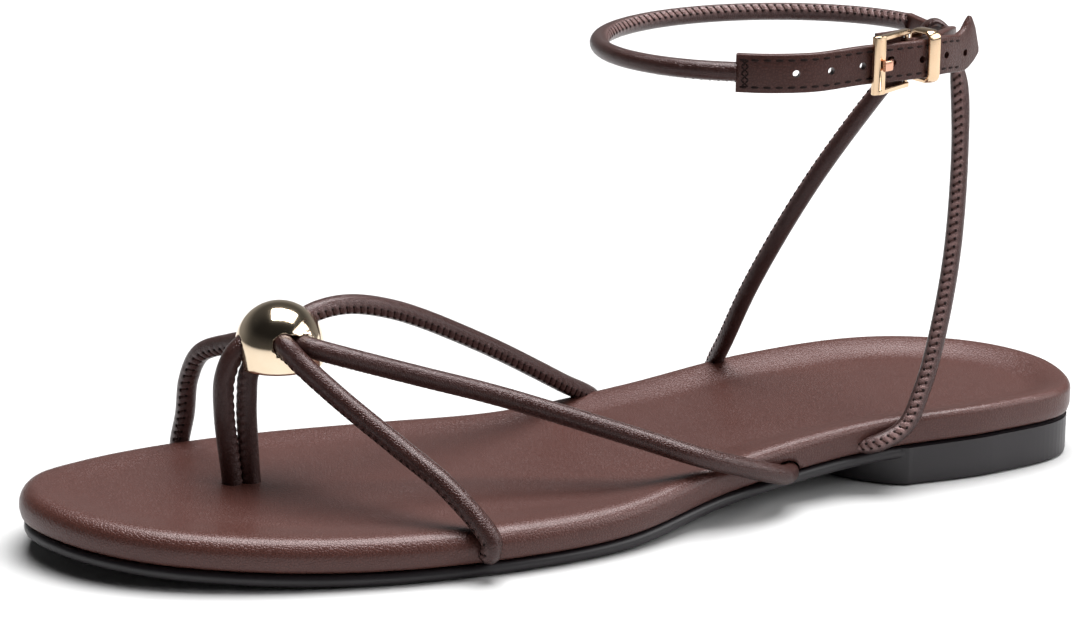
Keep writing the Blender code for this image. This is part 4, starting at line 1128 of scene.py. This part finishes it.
# Keeper: a band of the same plated metal, bent to a loop round tab and strap behind the buckle. Its
# outer face is slightly domed.
KEEPER_ANGLE = 62.0
KEEPER_TURN = -16.0
KEEPER_THICKNESS = 1.0
KEEPER_HALF_HEIGHT = 5.9
KEEPER_LIFT = 0.3
KEEPER_ROOM = 0.5
KEEPER_CORNER = 1.1
# the band's section: distance along the strap, rise over its inner face
KEEPER_PROFILE = ((-1.3, 0.0), (1.3, 0.0), (1.55, 0.2), (1.57, 0.55), (1.4, 0.83), (0.9, 0.95),
                  (0.3, 1.0), (-0.3, 1.0), (-0.9, 0.95), (-1.4, 0.83), (-1.57, 0.55), (-1.55, 0.2))

strap_off, tab_off = (np.interp(KEEPER_ANGLE, *np.array(sorted(row[:2] for row in table)).T)
                      for table in (STRAP_PATH, TAB_PATH))
outer_face = strap_off + STRAP_THICKNESS / 2 + KEEPER_ROOM
inner_face = tab_off - TAB_THICKNESS / 2 - KEEPER_ROOM
keeper_depth = outer_face - inner_face
keeper_frame = (Matrix.Translation((0, 0, KEEPER_LIFT * MM))
                @ ring_frame(KEEPER_ANGLE, (outer_face + inner_face) / 2)
                @ Matrix.Rotation(math.radians(KEEPER_TURN), 4, "Z"))
keeper_top = KEEPER_HALF_HEIGHT - KEEPER_THICKNESS - KEEPER_CORNER
keeper_rings = []
for across, lift, start in ((1, 1, 0), (-1, 1, 90), (-1, -1, 180), (1, -1, 270)):
    for turn in np.radians(start + np.linspace(0, 90, 7)):
        ring = []
        for along, proud in KEEPER_PROFILE:
            reach = KEEPER_CORNER + proud
            depth = across * (keeper_depth / 2 - KEEPER_CORNER) + reach * math.cos(turn)
            height = lift * keeper_top + reach * math.sin(turn)
            ring.append(keeper_frame @ (Vector((along, depth, height)) * MM))
        keeper_rings.append(ring)
keeper = new_piece("gold_keeper", loft("gold_keeper", keeper_rings, looped=True), buckle_gold)
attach(keeper, "root")
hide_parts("keeper")


# Studio: a plain white floor, a large softbox overhead, a weak panel beside the heel, dim walls and a
# camera low on the lateral side, a little ahead of the ball of the foot.
CAMERA_AZIMUTH = 66.704
CAMERA_ELEVATION = 16.281
CAMERA_DISTANCE = 649.6
CAMERA_ASIDE = -7.197
CAMERA_ABOVE = 20.546
AIM_HEIGHT = 20.0
CAMERA_LENS = 95.44
SENSOR_WIDTH = 36.0
FLOOR_SIZE_M = 12.0
FLOOR_DROP = 0.2
PALE_WALL = (-0.92, 0.4, 0.0)
WALL_LIGHT = 0.3
ROOM_LIGHT = 0.06
PAPER_COLOUR = "c2c2c2"
PAPER_MOTTLE = "c6c6c6"
MOTTLE_WIDTH_M = 0.4


def studio_white():
    """Matt white paper sweep: a trace of mottle, no gloss."""
    material, tree, shader = new_material("white_paper", roughness=0.9, specular_ior_level=0.1)
    where = add_node(tree, "ShaderNodeTexCoord").outputs["Object"]
    mottle = add_node(tree, "ShaderNodeTexNoise", {"Vector": where, "Scale": 1 / MOTTLE_WIDTH_M})
    tone = add_node(tree, "ShaderNodeMix", {"Factor": mottle.outputs["Fac"], "A": linear(PAPER_COLOUR),
                                            "B": linear(PAPER_MOTTLE)}, data_type="RGBA")
    tree.links.new(tone.outputs["Result"], shader.inputs["Base Color"])
    return material


def softbox(name, power, size, position, target=(0.0, 0.0, 0.03)):
    """Rectangular area light in metres, aimed at a target."""
    lamp = bpy.data.lights.new(name, "AREA")
    lamp.shape = "RECTANGLE"
    lamp.size, lamp.size_y = size
    lamp.energy = power
    item = bpy.data.objects.new(name, lamp)
    item.location = position
    item.rotation_euler = (Vector(target) - Vector(position)).to_track_quat("-Z", "Y").to_euler()
    bpy.context.scene.collection.objects.link(item)


floor_work = bmesh.new()
bmesh.ops.create_grid(floor_work, x_segments=1, y_segments=1, size=FLOOR_SIZE_M / 2)
floor_mesh = mesh_from("floor", floor_work)
floor = bpy.data.objects.new("floor", floor_mesh)
floor.location.z = -FLOOR_DROP * MM
floor_mesh.materials.append(studio_white())
bpy.context.scene.collection.objects.link(floor)


def studio_walls():
    """Dim studio room round the set: one pale wall behind, darker on the other sides and overhead."""
    world = bpy.data.worlds.new("studio")
    world.use_nodes = True
    tree = world.node_tree
    way = add_node(tree, "ShaderNodeTexCoord").outputs["Generated"]
    behind = add_node(tree, "ShaderNodeVectorMath", {0: way, 1: PALE_WALL}, operation="DOT_PRODUCT")
    wall = add_node(tree, "ShaderNodeMapRange", {"Value": behind.outputs["Value"], "From Min": -0.3,
                                                 "From Max": 0.9, "To Min": ROOM_LIGHT,
                                                 "To Max": WALL_LIGHT}, interpolation_type="SMOOTHSTEP")
    split = add_node(tree, "ShaderNodeSeparateXYZ", {"Vector": way})
    fade = add_node(tree, "ShaderNodeMapRange", {"Value": split.outputs["Z"], "From Min": 0.1,
                                                 "From Max": 0.6, "To Min": 1.0,
                                                 "To Max": 0.25}, interpolation_type="SMOOTHSTEP")
    light = add_node(tree, "ShaderNodeMath", {0: wall.outputs["Result"], 1: fade.outputs["Result"]},
                     operation="MULTIPLY")
    tree.links.new(light.outputs["Value"], tree.nodes["Background"].inputs["Strength"])
    tree.nodes["Background"].inputs["Color"].default_value = linear("ffffff")
    return world


# The overhead softbox is turned square to the camera, so the bead mirrors it upright.
softbox("overhead softbox", power=104.0, size=(1.75, 1.4), position=(-0.22, 0.44, 2.0),
        target=(0.06, 0.32, 0.0))
softbox("heel side panel", power=17.0, size=(1.4, 1.0), position=(0.75, 1.2, 0.8))
bpy.context.scene.world = studio_walls()
bpy.context.scene.view_settings.view_transform = "Standard"

azimuth, elevation = math.radians(CAMERA_AZIMUTH), math.radians(CAMERA_ELEVATION)
back = Vector((math.sin(azimuth) * math.cos(elevation), -math.cos(azimuth) * math.cos(elevation),
               math.sin(elevation)))
right = Vector((math.cos(azimuth), math.sin(azimuth), 0.0))
up = back.cross(right)
camera_data = bpy.data.cameras.new("camera")
camera_data.lens = CAMERA_LENS
camera_data.sensor_width = SENSOR_WIDTH
camera_data.sensor_fit = "HORIZONTAL"
camera = bpy.data.objects.new("camera", camera_data)
sole_middle = place(0.0, SOLE_LENGTH / 2, AIM_HEIGHT)
camera.location = sole_middle + (back * CAMERA_DISTANCE + right * CAMERA_ASIDE + up * CAMERA_ABOVE) * MM
camera.rotation_euler = Matrix((right, up, back)).transposed().to_euler()
bpy.context.scene.collection.objects.link(camera)
bpy.context.scene.camera = camera
